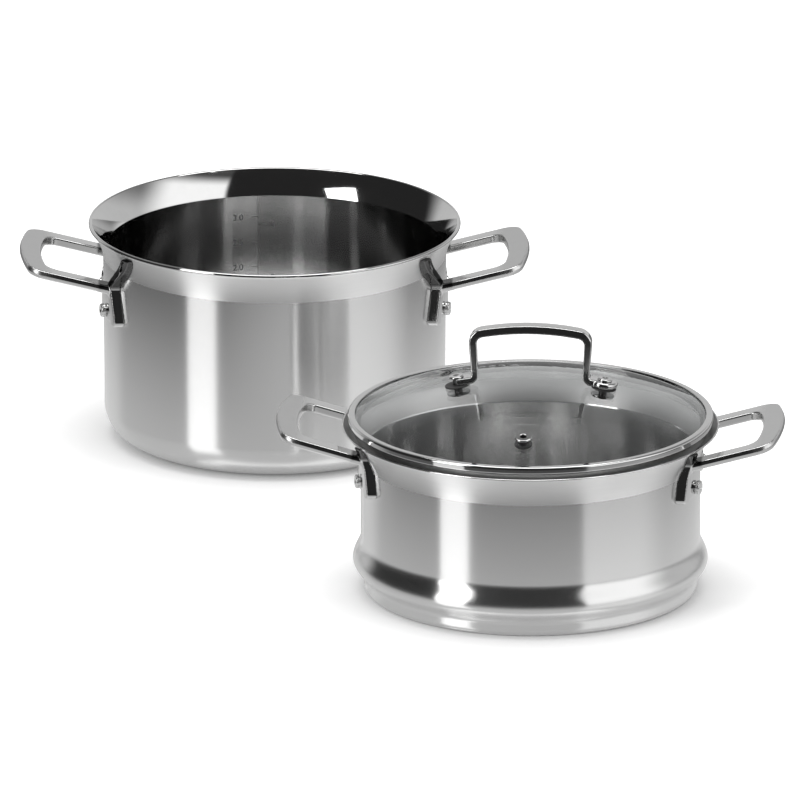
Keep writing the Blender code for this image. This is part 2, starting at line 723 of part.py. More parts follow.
def lid_handle(looks, parent):
    """Bent strap with a crowned grip, splayed legs and a riveted eye at each end."""
    eye = lid_stack()[1] + LID_EYE_THICK / 2
    foot = dome_frame(LID_RIVET_SPAN, 0.0) @ Vector((0, 0, eye))
    slope = LID_RIVET_SPAN / math.sqrt(dome_radius() ** 2 - LID_RIVET_SPAN ** 2)
    bend = foot.z + (foot.x - LID_LEG_FOOT) * slope
    grip = crown_height() + LID_GRIP_RISE - LID_STRAP_THICK / 2
    half = rounded([(foot.x, foot.z, 0), (LID_LEG_FOOT, bend, LID_FOOT_BEND),
                    (LID_LEG_TOP, grip - LID_GRIP_CROWN, LID_GRIP_CORNER),
                    (0.0, grip, 0)])
    path = half + [(-x, z) for x, z in half[-2::-1]]
    made = sweep('lid_handle', path, LID_STRAP_WIDTH / 2, LID_STRAP_THICK / 2,
                 looks['polished'])
    for bearing in (0.0, 180.0):
        frame = dome_frame(LID_RIVET_SPAN, bearing)
        low = lid_stack()[1]
        high = low + LID_EYE_THICK
        disc = rounded([(0, low, 0), (LID_EYE_RADIUS, low, LID_EYE_EDGE),
                        (LID_EYE_RADIUS, high, LID_EYE_EDGE), (0, high, 0)])
        boolean(made, place(lathe('eye', disc, steps=EYE_STEPS), frame), 'UNION')
        radius = LID_SHANK + HOLE_PLAY
        below = low - LID_EYE_THICK
        above = high + LID_EYE_THICK
        hole = [(0, below), (radius, below), (radius, above), (0, above)]
        boolean(made, place(lathe('eye_hole', hole, steps=SMALL_STEPS), frame), 'DIFFERENCE')
    return mount(made, parent)


def ring(name, inner, outer, low, high, frame, look, parent):
    """A flat washer between two heights of a frame."""
    outline = [(inner, low), (outer, low), (outer, high), (inner, high)]
    return mount(place(lathe(name, outline, look, SMALL_STEPS), frame), parent)


def lid_fasteners(looks, parent):
    """Rivet, gasket and inner washer at each end of the lid's handle."""
    gasket, _, head, washer, tail = lid_stack()
    bore = LID_SHANK + HOLE_PLAY
    for label, bearing in (('right', 0.0), ('left', 180.0)):
        frame = dome_frame(LID_RIVET_SPAN, bearing)
        ring(f'lid_gasket_{label}', bore, GASKET_RADIUS, gasket, gasket + GASKET_THICK,
             frame, looks['silicone'], parent)
        ring(f'lid_washer_{label}', bore, WASHER_RADIUS, washer, washer + WASHER_THICK,
             frame, looks['polished'], parent)
        outline = rivet_tail(LID_HEAD, tail, LID_HEAD_HEIGHT)
        outline += [(LID_SHANK, tail), (LID_SHANK, head)]
        outline += rivet_head(LID_HEAD, head, LID_HEAD_HEIGHT, LID_DIMPLE)
        rivet = lathe(f'lid_rivet_{label}', outline, looks['polished'], SMALL_STEPS)
        mount(place(rivet, frame), parent)


def vent_grommet(looks, parent):
    """Steel eyelet with a bore through it, rolled over on both faces of the glass."""
    top = FIT_GAP * 2
    base = -GLASS_THICK - FIT_GAP
    soft = VENT_FLANGE_THICK / 2
    outline = rounded([(VENT_BORE, base - VENT_FLANGE_THICK, 0),
                       (VENT_FLANGE, base - VENT_FLANGE_THICK, soft),
                       (VENT_FLANGE, base, 0), (VENT_SHANK, base, 0), (VENT_SHANK, top, 0),
                       (VENT_FLANGE, top, 0), (VENT_FLANGE, top + VENT_FLANGE_THICK, soft),
                       (VENT_BORE, top + VENT_FLANGE_THICK, 0)])
    made = lathe('vent_grommet', outline, looks['polished'], SMALL_STEPS)
    return mount(place(made, dome_frame(VENT_OFFSET, -90.0)), parent)


def empty(name, location, turn, parent=None):
    """An empty that carries the pieces of one body."""
    made = bpy.data.objects.new(name, None)
    made.location = location
    made.rotation_euler.z = math.radians(turn)
    made.parent = parent
    bpy.context.scene.collection.objects.link(made)
    return made


def build():
    """Make the three bodies: the pot, the steamer beside it and the lid on the steamer."""
    clear_scene()
    looks = {
        'polished': material('steel_polished', STEEL_POLISHED, 0.12, metallic=1.0),
        'satin': material('steel_satin', STEEL_SATIN, 0.28, metallic=1.0),
        'glass': material('tempered_glass', GLASS_TINT, 0.03, transmission=0.9),
        'silicone': material('silicone', SILICONE_GREY, 0.6),
    }
    pot = empty('pot', (0, 0, 0), POT_TURN)
    pot_body(looks, pot)
    add_handles(POT, looks, pot)
    steamer = empty('steamer', (*STEAMER_PLACE, 0), STEAMER_TURN)
    steamer_body(looks, steamer)
    add_handles(STEAMER, looks, steamer)
    lid = empty('lid', (0, 0, 0), 0.0, steamer)
    lid_glass(looks, lid)
    lid_band(looks, lid)
    lid_handle(looks, lid)
    lid_fasteners(looks, lid)
    vent_grommet(looks, lid)


build()
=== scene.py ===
# %% [markdown]
# # A steel pot, its steamer insert and a glass lid
# Three things stand on a white table: a deep pot, an insert with holes in its base that
# hangs in the mouth of the pot, and one lid that closes either of them. The packed model
# gives the sizes and the moving bodies, so each piece made here sits where the frame has
# its plain version. The frame's box is kept, because the finished model has to fit it.

# %% Load the fixed frame
import math

import bmesh
import bpy
from mathutils import Matrix, Vector


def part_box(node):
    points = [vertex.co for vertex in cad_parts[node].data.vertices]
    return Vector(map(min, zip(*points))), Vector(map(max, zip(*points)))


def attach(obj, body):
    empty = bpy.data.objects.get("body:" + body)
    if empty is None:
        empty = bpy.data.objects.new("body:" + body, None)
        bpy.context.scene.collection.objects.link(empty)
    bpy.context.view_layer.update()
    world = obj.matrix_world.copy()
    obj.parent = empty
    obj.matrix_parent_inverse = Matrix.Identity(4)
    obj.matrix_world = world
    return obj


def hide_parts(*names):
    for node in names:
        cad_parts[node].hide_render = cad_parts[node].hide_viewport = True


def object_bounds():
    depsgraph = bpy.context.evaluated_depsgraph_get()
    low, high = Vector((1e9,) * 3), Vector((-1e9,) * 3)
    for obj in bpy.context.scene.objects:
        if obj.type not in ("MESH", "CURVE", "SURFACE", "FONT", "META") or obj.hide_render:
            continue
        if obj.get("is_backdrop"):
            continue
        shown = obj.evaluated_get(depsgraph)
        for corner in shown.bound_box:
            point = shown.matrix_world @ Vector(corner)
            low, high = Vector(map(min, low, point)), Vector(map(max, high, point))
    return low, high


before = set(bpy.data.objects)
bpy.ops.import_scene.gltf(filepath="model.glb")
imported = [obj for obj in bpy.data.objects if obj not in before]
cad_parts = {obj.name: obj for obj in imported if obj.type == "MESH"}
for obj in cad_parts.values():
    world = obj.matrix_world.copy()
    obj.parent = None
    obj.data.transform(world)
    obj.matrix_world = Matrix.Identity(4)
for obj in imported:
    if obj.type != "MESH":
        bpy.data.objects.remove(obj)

cad_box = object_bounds()
print("box of the frame in mm:", [[round(v * 1000, 1) for v in corner] for corner in cad_box])

# %% [markdown]
# ## The camera
# Product pictures of pans are taken with a long lens from a little above the table, so that
# the rims stay calm ovals. So the camera stands 20 m away, and its lens is worked out from
# how wide the picture has to be. The oval of a round rim gives the angle: its height over
# its width is the sine of how far the camera looks down.

# %% Camera
MM = 0.001
LOOK_DOWN = math.radians(17.4)
VIEW_WIDTH = 477.0 * MM
CAMERA_DISTANCE = 20.0
AIM = Vector((75.0, -96.9, 50.0)) * MM


def placed(name, data):
    """A new object in the scene."""
    made = bpy.data.objects.new(name, data)
    bpy.context.scene.collection.objects.link(made)
    return made


camera_data = bpy.data.cameras.new("camera")
camera_data.sensor_width = 36.0
camera_data.lens = camera_data.sensor_width * CAMERA_DISTANCE / VIEW_WIDTH
camera_data.clip_end = CAMERA_DISTANCE * 3
camera = placed("camera", camera_data)
back = Vector((0.0, -math.cos(LOOK_DOWN), math.sin(LOOK_DOWN)))
camera.location = AIM + back * CAMERA_DISTANCE
camera.rotation_euler = (math.pi / 2 - LOOK_DOWN, 0.0, 0.0)
bpy.context.scene.camera = camera
bpy.context.scene.view_settings.view_transform = "Standard"
print("lens in mm:", round(camera_data.lens))

# %% [markdown]
# ## Writing materials as expressions
# A material is a graph of nodes, which is hard to read as a list of links. A socket that
# knows how to add, subtract and multiply turns it back into sums: the class below wraps one
# output socket, and each operator adds one Math node. Every other node comes from one
# method that takes the node's type, its settings and the values of its sockets.

# %% A socket that does sums, and a material that makes nodes
class Value:
    """One output socket of a material, usable in Python sums."""

    def __init__(self, look, socket):
        self.look = look
        self.socket = socket

    def __add__(self, other):
        return self.look.maths("ADD", self, other)

    __radd__ = __add__

    def __sub__(self, other):
        return self.look.maths("SUBTRACT", self, other)

    def __rsub__(self, other):
        return self.look.maths("SUBTRACT", other, self)

    def __mul__(self, other):
        return self.look.maths("MULTIPLY", self, other)

    __rmul__ = __mul__

    def rise(self, low, high):
        """0 below low, 1 above high, and smooth between them."""
        return self.look.node("ShaderNodeMapRange", {"interpolation_type": "SMOOTHSTEP"},
                              {"Value": self, "From Min": low, "From Max": high})


class Look:
    """A material with a Principled shader, or the nodes of a world."""

    def __init__(self, name, owner=None):
        self.made = owner or bpy.data.materials.new(name)
        self.made.use_nodes = True
        self.tree = self.made.node_tree
        self.shader = self.tree.nodes.get("Principled BSDF")

    def node(self, kind, settings=None, sockets=None, output=0):
        """Add a node, set it up, fill its sockets and return one of its outputs."""
        made = self.tree.nodes.new(kind)
        for name, value in (settings or {}).items():
            setattr(made, name, value)
        for name, value in (sockets or {}).items():
            self.fill(made.inputs[name], value)
        return Value(self, made.outputs[output])

    def fill(self, socket, value):
        if isinstance(value, Value):
            self.tree.links.new(value.socket, socket)
        else:
            socket.default_value = value

    def set(self, **values):
        """Fill sockets of the Principled shader, written as base_color=..."""
        for name, value in values.items():
            self.fill(self.shader.inputs[name.replace("_", " ").title()], value)

    def maths(self, operation, first, second=0.0):
        """One Math node, such as a sum, an angle or a power."""
        return self.node("ShaderNodeMath", {"operation": operation}, {0: first, 1: second})

    def length(self, x, y):
        """The length of the level vector (x, y)."""
        return self.maths("SQRT", x * x + y * y)

    def split(self, vector):
        """The X, Y and Z of a vector."""
        node = self.node("ShaderNodeSeparateXYZ", sockets={"Vector": vector}).socket.node
        return [Value(self, node.outputs[axis]) for axis in ("X", "Y", "Z")]

    def place(self):
        """The point being shaded, in metres from the piece's own origin."""
        return self.split(self.node("ShaderNodeTexCoord", output="Object"))

    def noise(self, x, y, z, detail=2.0):
        """Noise between 0 and 1, one bump to the unit on each axis."""
        point = self.node("ShaderNodeCombineXYZ", sockets={"X": x, "Y": y, "Z": z})
        return self.node("ShaderNodeTexNoise", sockets={"Vector": point, "Scale": 1.0,
                                                        "Detail": detail}, output="Fac")

    def grain(self, bumps, detail=2.0):
        """Noise that is alike in all directions, with this many bumps to the metre."""
        x, y, z = self.place()
        return self.noise(x * bumps, y * bumps, z * bumps, detail)

    def blend(self, share, first, second):
        """A colour between two colours."""
        mixed = self.node("ShaderNodeMix", {"data_type": "RGBA"}, output=2)
        inputs = mixed.socket.node.inputs
        for index, value in ((0, share), (6, first), (7, second)):
            self.fill(inputs[index], value)
        return mixed

    def mix(self, share, first, second):
        """A shader between two shaders."""
        return self.node("ShaderNodeMixShader", sockets={0: share, 1: first, 2: second})

    def end(self, shader):
        """Use this shader as the material's surface."""
        out = next(n for n in self.tree.nodes if n.type in ("OUTPUT_MATERIAL", "OUTPUT_WORLD"))
        self.tree.links.new(shader.socket, out.inputs["Surface"])


print("socket sums ready:", [name for name in vars(Value) if name.startswith("__r")])

# %% [markdown]
# ## The table
# The set stands on a white table that runs into a white background. Lamps that make the
# table white would burn out the steel, so for the camera the table adds a little light of
# its own to what it reflects. Where a pot keeps the light out the shadow stays, and the
# table's own light fades where something stands close above it (ambient occlusion): a
# painted shade that draws the dark line of contact. An upright steel wall mostly shows the
# table in front of it, and to mirrored rays the table is a painted glow: bright near the
# set, painted shade at the feet, darker further out, and glossy enough to show low lamps.

# %% Table
TABLE_SIZE = 60.0
TABLE_GAP = 0.2 * MM
STEAMER_PLACE = Vector((152.0, -305.5, 0.0)) * MM
FEET = ((Vector(), 91.0 * MM), (STEAMER_PLACE, 96.0 * MM))
OWN_LIGHT = 0.64
SHADE_REACH = 0.07
CLEAR_TABLE = (0.05, 0.4)
# The painted glow that steel mirrors: its value under the foot, what the clear table adds,
# and what is lost over two stretches of distance from the foot, in metres.
GLOW_UNDER = 0.40
GLOW_CLEAR = 0.52
SLOW_LOSS = 0.50
SLOW_STRETCH = (0.0, 0.42)
EDGE_LOSS = 0.38
EDGE_STRETCH = (0.24, 0.36)
GLOSS_SHARE = 0.30
GLOSS_ROUGHNESS = 0.08

table_look = Look("table")
x, y, _ = table_look.place()
nearest = table_look.maths("MINIMUM", *(table_look.length(x - centre.x, y - centre.y) - foot
                                        for centre, foot in FEET))
open_sky = table_look.node("ShaderNodeAmbientOcclusion", {"samples": 2},
                           {"Distance": SHADE_REACH}, output="AO")
# Painted light for mirrored rays: a glow round the set, with painted shade at the feet.
painted_glow = (GLOW_UNDER + GLOW_CLEAR * open_sky.rise(*CLEAR_TABLE)
        - SLOW_LOSS * nearest.rise(*SLOW_STRETCH) - EDGE_LOSS * nearest.rise(*EDGE_STRETCH))
plain = table_look.node("ShaderNodeBsdfDiffuse", sockets={"Color": (0.8, 0.8, 0.8, 1)})
# Painted contact shade: the table's own light fades with ambient occlusion.
own_light = table_look.node("ShaderNodeEmission", sockets={"Strength": OWN_LIGHT * open_sky})
white = table_look.node("ShaderNodeAddShader", sockets={0: plain, 1: own_light})
shown = table_look.node("ShaderNodeEmission", sockets={"Strength": painted_glow})
polish = table_look.node("ShaderNodeBsdfGlossy", sockets={"Roughness": GLOSS_ROUGHNESS})
seen = table_look.node("ShaderNodeLightPath", output="Is Camera Ray")
mirrored = table_look.node("ShaderNodeLightPath", output="Is Glossy Ray")
others = table_look.mix(mirrored, plain, table_look.mix(GLOSS_SHARE, shown, polish))
table_look.end(table_look.mix(seen, others, white))

table_mesh = bpy.data.meshes.new("table")
half = TABLE_SIZE / 2
table_mesh.from_pydata([(-half, -half, 0), (half, -half, 0), (half, half, 0), (-half, half, 0)],
                       [], [(0, 1, 2, 3)])
table_mesh.materials.append(table_look.made)
table = placed("table", table_mesh)
table.location.z = -TABLE_GAP
table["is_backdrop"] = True
print("table:", TABLE_SIZE, "m wide")

# %% [markdown]
# ## The light
# One wide soft lamp overhead gives the short, soft shadows. The shape of steel comes from
# what stands round it. A tall lamp at the left of the camera is drawn out by a brushed wall
# into one upright stripe, and a pale screen at the right lights that side as far as the
# screen is high. Between them the room in front is dark, so the parts that face upwards and
# forwards go nearly black, and behind the set the room is grey. All this is the world as
# steel and glass see it. For the camera the world is white.

# %% Lamps and room
LAMP_DISTANCE = 6.0
LAMP_AIM = Vector((75.0, -150.0, 60.0)) * MM
# Each pair is a soft edge, in degrees from behind the camera to the right.
SCREEN_START = (34.0, 38.0)
SCREEN_END = (78.0, 108.0)
REAR_END = (-138.0, -120.0)
# These edges are heights: the upward part of a direction that is 1 long.
SCREEN_TOP = (0.64, 0.80)
REAR_FADE = (0.25, 0.6)
FRONT_LIGHT = 0.03
SCREEN_LIGHT = 1.7
ABOVE_SCREEN = 1.62
REAR_LIGHT = 0.26
REAR_LOW_LIGHT = 0.55
FILL_LIGHT = 0.35


def lamp(name, bearing, height, width, tall, brightness, distance=LAMP_DISTANCE):
    """A soft rectangular lamp that faces the set. Bearing 0 is behind the camera."""
    data = bpy.data.lights.new(name, "AREA")
    data.shape = "RECTANGLE"
    data.size = width
    data.size_y = tall
    data.energy = brightness * math.pi * width * tall
    made = placed(name, data)
    turn = math.radians(bearing)
    spot = Vector((math.sin(turn) * distance, -math.cos(turn) * distance, height))
    made.location = LAMP_AIM + spot
    made.rotation_euler = (-spot).to_track_quat("-Z", "Y").to_euler()
    made.visible_camera = False
    return made


left_lamp = lamp("left_lamp", bearing=-51.5, height=2.2, width=2.3, tall=4.4, brightness=3.7)
top_lamp = lamp("top_lamp", bearing=180.0, height=3.2, width=3.4, tall=2.2, brightness=3.0,
                distance=0.1)

world = bpy.data.worlds.new("room")
bpy.context.scene.world = world
room = Look("room", world)
room.tree.nodes.clear()
room.tree.nodes.new("ShaderNodeOutputWorld")
x, y, height = room.split(room.node("ShaderNodeTexCoord", output="Generated"))
degrees = room.maths("ARCTAN2", x, -1.0 * y) * (180 / math.pi)
screen = degrees.rise(*SCREEN_START) * (1.0 - degrees.rise(*SCREEN_END))
screen_light = SCREEN_LIGHT - ABOVE_SCREEN * height.rise(*SCREEN_TOP)
rear = degrees.rise(*SCREEN_END) + (1.0 - degrees.rise(*REAR_END))
rear_light = REAR_LIGHT + REAR_LOW_LIGHT * (1.0 - height.rise(*REAR_FADE))
brightness = FRONT_LIGHT + screen_light * screen + rear * rear_light
paper = room.node("ShaderNodeBackground", sockets={"Strength": 1.0, "Color": (1, 1, 1, 1)})
seen_room = room.node("ShaderNodeBackground", sockets={"Strength": brightness})
fill_light = room.node("ShaderNodeBackground", sockets={"Strength": FILL_LIGHT})
to_camera = room.node("ShaderNodeLightPath", output="Is Camera Ray")
in_steel = room.node("ShaderNodeLightPath", output="Is Glossy Ray")
room.end(room.mix(to_camera, room.mix(in_steel, fill_light, seen_room), paper))
print("lamps:", left_lamp.name, top_lamp.name)

# %% [markdown]
# ## Steel
# Stainless steel has one colour, and its finish makes most of the difference; the rest is
# painted light and shade, a brightness factor on each finish. The walls are brushed round
# the axis: the scratches run level, so a reflection stays sharp from side to side and
# smears upwards and downwards. Anisotropy does exactly that. It is measured round the
# piece's own upright middle line, which is the axis of a turned vessel, and a quarter turn
# makes the smear upright. The brush marks themselves are noise that is stretched round the
# vessel: slow in the angle, fast in height and radius.
# The outside of the flare is rougher and smears the most, so it shows no dark line, and it
# is painted lighter. The inside of the base is painted dark, a painted shade, and the wall
# above mirrors it. The rim and the handles are polished and a little uneven, and where the
# ribs meet the flare the steel is painted nearly black: painted shade in that hollow.

# %% Finishes
STEEL = (0.66, 0.66, 0.658)
SATIN_FADE = 12.0 * MM
# Painted shade in the hollow between rim and arm: how fast it fades in, and how dark it is.
HOLLOW_SHADE_FADE = (2.0 * MM, 3.0 * MM)
HOLLOW_PAINTED_SHADE = 0.10
SATIN = 0.3


def shade(colour, factor):
    """A colour made lighter or darker, with full alpha."""
    return tuple(min(1.0, channel * factor) for channel in colour) + (1.0,)


def steel(look, marks, tint, roughness, spread, bump, **more):
    """Finish a steel look: marks vary its roughness, and bump is (strength, depth, height)."""
    strength, depth, height = bump
    normal = look.node("ShaderNodeBump", sockets={"Strength": strength, "Distance": depth,
                                                  "Height": height})
    look.set(base_color=tint, metallic=1.0, roughness=roughness + spread * (marks - 0.5),
             normal=normal, **more)
    return look.made


def brushed_steel(name, roughness, spread, smear, factor):
    """Steel with level scratches round Z: base roughness, its variation and anisotropy."""
    look = Look(name)
    px, py, pz = look.place()
    turn = look.maths("ARCTAN2", py, px)
    radius = look.length(px, py)
    fine = look.noise(turn * 9.0, pz * 2600.0, radius * 2600.0)
    broad = look.noise(turn * 2.0 + 7.0, pz * 420.0, radius * 420.0, detail=3.0)
    marks = 0.6 * fine + 0.4 * broad
    # The factor paints light or shade into the steel: above 1 painted light, below 1 painted
    # shade.
    tint = look.blend(marks, shade(STEEL, 0.96 * factor), shade(STEEL, 1.04 * factor))
    return steel(look, marks, tint, roughness, spread, (0.05, 0.02 * MM, marks),
                 anisotropic=smear, anisotropic_rotation=0.25)


def polished_steel(name, roughness, spread, factor=1.0, satin_from=None, hollow=None):
    """Steel buffed by hand: a soft, slightly uneven mirror, which can turn satin along X.

    Within the X and above the Z of a hollow it is painted nearly black: painted shade where rim
    and arm keep the light out.
    """
    look = Look(name)
    px, _, pz = look.place()
    if satin_from is not None:
        matt = px.rise(satin_from, satin_from + SATIN_FADE)
        roughness = roughness + (SATIN - roughness) * matt
    cloud = look.grain(160.0, detail=3.0)
    swirl = look.grain(1800.0)
    marks = 0.6 * cloud + 0.4 * swirl
    # A factor below 1 paints shade into the steel's colour.
    tint = look.blend(marks, shade(STEEL, 0.94 * factor), shade(STEEL, 1.05 * factor))
    # Painted shade: within the hollow the steel is painted nearly black.
    if hollow is not None:
        out, up = hollow
        painted_shade_mask = (1.0 - px.rise(out, out + HOLLOW_SHADE_FADE[0])) * pz.rise(up, up + HOLLOW_SHADE_FADE[1])
        tint = look.blend(painted_shade_mask, tint, shade(STEEL, HOLLOW_PAINTED_SHADE))
    return steel(look, marks, tint, roughness, spread, (0.15, 0.03 * MM, cloud))


# Roughness, how much the marks vary it, smear, and brightness: painted light on the outside
# and the flare, painted shade on the inside, the seat and most of all the base.
BRUSHED = {"outside": (0.20, 0.03, 0.95, 1.06), "flare": (0.42, 0.04, 0.985, 1.38),
           "inside": (0.08, 0.03, 0.88, 0.92), "insert": (0.12, 0.06, 0.88, 1.0),
           "seat": (0.38, 0.06, 0.3, 0.8), "base": (0.22, 0.05, 0.0, 0.32)}
outside, flare_steel_painted_light, inside, lower_inside, seat_steel, base_steel_painted_dark = (
    brushed_steel(f"brushed_{name}", *values) for name, values in BRUSHED.items())
mirror = polished_steel("polished_rim", 0.06, spread=0.03)
forged = polished_steel("polished_forging", 0.07, spread=0.03)
# Rougher steel, painted dark for the parts below the glass: painted shade.
dull_painted_dark = polished_steel("dull_washer_painted_dark", 0.35, spread=0.05, factor=0.2)
print("finishes:", [finish.name for finish in bpy.data.materials])

# %% [markdown]
# ## Turning a vessel
# Both vessels are drawn from sheet on a press and trimmed on a lathe, so their shape is one
# outline turned round the axis. The inside, the rim and the outside need different
# finishes, so the outline is a list of stretches, each with its finish, and the turning is
# done point by point.

# %% Turned pieces
ROUND_STEPS = 288
TINY = 1e-7
LONG_STRETCH = 2.0 * MM
END_STRETCH = 0.3 * MM


def bow(centre, radius, start, end, step=3.0, count=None):
    """Points on an arc, from one angle to another in degrees."""
    count = count or max(2, math.ceil(abs(end - start) / step) + 1)
    angles = [math.radians(start + (end - start) * i / (count - 1)) for i in range(count)]
    return [(centre[0] + radius * math.cos(a), centre[1] + radius * math.sin(a)) for a in angles]


def spun(degrees):
    """A turn round the upright axis."""
    return Matrix.Rotation(math.radians(degrees), 4, "Z")


def baked(shape, name, outwards=True):
    """The mesh of a bmesh, which is freed, with its faces turned outwards."""
    if outwards:
        bmesh.ops.recalc_face_normals(shape, faces=shape.faces)
    mesh = bpy.data.meshes.new(name)
    shape.to_mesh(mesh)
    shape.free()
    return mesh


def skinned(rings, name):
    """A mesh from rings of points, joined in their order and closed at both ends."""
    shape = bmesh.new()
    rings = [[shape.verts.new(point) for point in ring] for ring in rings]
    for one, two in zip(rings, rings[1:]):
        for i in range(len(one)):
            shape.faces.new((one[i - 1], one[i], two[i], two[i - 1]))
    shape.faces.new(rings[0])
    shape.faces.new(rings[-1])
    return baked(shape, name)


def turned(name, stretches, steps=ROUND_STEPS):
    """A mesh from stretches of (finish index, points), turned round Z as one outline.

    A long straight stretch gets a point near each of its ends, so that its shading stays
    flat and only the short face at the end bends towards its neighbour.
    """
    outline = []
    finish = []
    for index, points in stretches:
        for point in points:
            here = Vector(point)
            if outline:
                last = Vector(outline[-1])
                length = (here - last).length
                if length < TINY:
                    continue
                if length > LONG_STRETCH:
                    share = END_STRETCH / length
                    outline += [tuple(last.lerp(here, share)), tuple(here.lerp(last, share))]
                    finish += [index, index]
            outline.append(point)
            finish.append(index)
    shape = bmesh.new()
    rings = []
    for radius, height in outline:
        rings.append([shape.verts.new((radius * math.cos(math.tau * i / steps),
                                       radius * math.sin(math.tau * i / steps), height))
                      for i in range(1 if radius < TINY else steps)])
    on_axis = len(rings[0]) == 1
    for k in range(len(rings) - on_axis):
        low = rings[k]
        high = rings[(k + 1) % len(rings)]
        for i in range(steps):
            j = (i + 1) % steps
            corners = [low[i % len(low)], low[j % len(low)],
                       high[j % len(high)], high[i % len(high)]]
            face = shape.faces.new(list(dict.fromkeys(corners)))
            face.material_index = finish[(k + 1) % len(rings)]
    return baked(shape, name)


def show(name, mesh, finishes, body, nodes, slot, matrix=Matrix(), sharp=40.0):
    """Put a finished mesh in the scene as a piece that rides on a body."""
    for finish in finishes:
        mesh.materials.append(finish)
    mesh.shade_smooth()
    mesh.set_sharp_from_angle(angle=math.radians(sharp))
    made = placed(name, mesh)
    made.matrix_world = matrix
    bpy.context.view_layer.update()
    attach(made, body)
    if nodes:
        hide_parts(*nodes)


print("steps round a vessel:", ROUND_STEPS)

# %% [markdown]
# The wall has the same thickness all the way up, so the inside is the outside moved inwards
# along its own normal, and the edge is a half circle. The flare starts with a slight crease,
# which the rolling tool leaves: it is what draws the crisp line under the rim. Only the
# inside of the flare is an arc of its own. It starts a little higher and with a stronger
# crease, because it is rolled over a round tool. The outline is split into six finishes.

# %% Outlines of the vessels
CREASE_SHOWS = 5.0
OUTER_CREASE = 8.0
INNER_CREASE = 23.0
OUTSIDE, LIP, INSIDE, SEAT, FLARE, BASE = range(6)


def flare(radius, height, tall, run, crease, count=26):
    """A flared rim: an arc that starts off the wall at the crease angle, in degrees."""
    end = 2 * math.degrees(math.atan2(run, tall)) - crease
    big = math.hypot(tall, run) / (2 * math.sin(math.radians(end - crease) / 2))
    first = math.radians(crease)
    tilts = [math.radians(crease + (end - crease) * i / count) for i in range(count + 1)]
    return [(radius + big * (math.cos(first) - math.cos(tilt)),
             height - tall + big * (math.sin(tilt) - math.sin(first))) for tilt in tilts]


def normals(path):
    """The normal at each point of a path, on the path's left."""
    points = [Vector(point) for point in path]
    ways = [(points[min(i + 1, len(points) - 1)] - points[max(i - 1, 0)]).normalized()
            for i in range(len(points))]
    return [Vector((-way.y, way.x)) for way in ways]


def inner_side(path, wall):
    """The path moved inwards by the wall's thickness, starting on the axis."""
    moved = [Vector(point) + normal * wall for point, normal in zip(path, normals(path))]
    moved[0] = Vector((0.0, moved[0].y))
    return [tuple(point) for point in moved]


def lip(outer, inner):
    """A half circle that joins the outside to the inside at the rim."""
    first = Vector(outer[-1])
    middle = (first + Vector(inner[-1])) / 2
    side = first - middle
    ahead = (first - Vector(outer[-2])).normalized() * side.length
    return [tuple(middle + side * math.cos(a) + ahead * math.sin(a))
            for a in (math.pi * i / 10 for i in range(11))]


def vessel_mesh(name, low_path, flare_path, wall, crease_height, flare_finish):
    """Outside, polished rim, inside of the flare and inside of a vessel, as one shell."""
    outer = low_path + flare_path[1:]
    inner = inner_side(outer, wall)
    radius = inner[len(low_path) - 1][0]
    end_radius, end_height = inner[-1]
    inner_wall = inner[:len(low_path) - 1] + [(radius, crease_height)]
    inner_flare = flare(radius, end_height, end_height - crease_height, end_radius - radius,
                        INNER_CREASE)
    return turned(name, [(OUTSIDE, low_path), (FLARE, flare_path[1:]),
                         (LIP, lip(outer, inner)), (flare_finish, inner_flare[:0:-1]),
                         (INSIDE, inner_wall[:0:-1]), (BASE, inner_wall[1::-1])])


print("finishes on a vessel:", BASE + 1)

# %% [markdown]
# ## The pot
# A deep pot with straight sides: 2.3 mm of layered sheet with a large radius at its foot.

# %% Pot
POT_HEIGHT = 130.0 * MM
POT_RADIUS = 102.7 * MM
POT_WALL = 2.3 * MM
POT_CORNER = 20.0 * MM
POT_FLARE = 18.0 * MM
POT_CREASE = 117.0 * MM
RIM_RADIUS = 111.0 * MM
POT_INSET = 0.66 * MM
POT_TURN = 1.0

foot = POT_RADIUS - POT_INSET
pot_low = [(0.0, 0.0)] + bow((foot - POT_CORNER, POT_CORNER), POT_CORNER, -90.0, 0.0)
pot_low.append((POT_RADIUS, POT_HEIGHT - POT_FLARE))
pot_flare = flare(POT_RADIUS, POT_HEIGHT, POT_FLARE, RIM_RADIUS - POT_RADIUS, OUTER_CREASE)
pot_mesh = vessel_mesh("pot_shell", pot_low, pot_flare, POT_WALL, POT_CREASE, LIP)
pot_finishes = (outside, mirror, inside, seat_steel, flare_steel_painted_light, base_steel_painted_dark)
show("pot_shell", pot_mesh, pot_finishes, "pot", ("pot_body",), "satin_steel",
     sharp=CREASE_SHOWS)
print("pot shell:", len(pot_mesh.polygons), "faces")

# %% [markdown]
# ## The steamer insert
# A thinner sheet, 1 mm, with a bulge rolled into it near the base. The bulge rests in the
# flare of the pot and the narrow part below it drops into the mouth. Steam comes up through
# rings of holes, which are punched, so a solid is cut with round punches.

# %% Steamer insert
STEAMER_HEIGHT = 100.0 * MM
STEAMER_RADIUS = 100.3 * MM
STEAMER_WALL = 1.0 * MM
STEAMER_CORNER = 4.0 * MM
STEAMER_FLARE = 18.5 * MM
STEAMER_CREASE = 83.0 * MM
SPIGOT_RADIUS = 98.4 * MM
BEAD_RADIUS = 104.8 * MM
BEAD_HEIGHTS = (7.0 * MM, 18.5 * MM, 32.5 * MM)
HOLE_RADIUS = 4.0 * MM
HOLE_RINGS = (6, 12, 18)
HOLE_PITCH = 24.0 * MM
STEAMER_TURN = -3.4


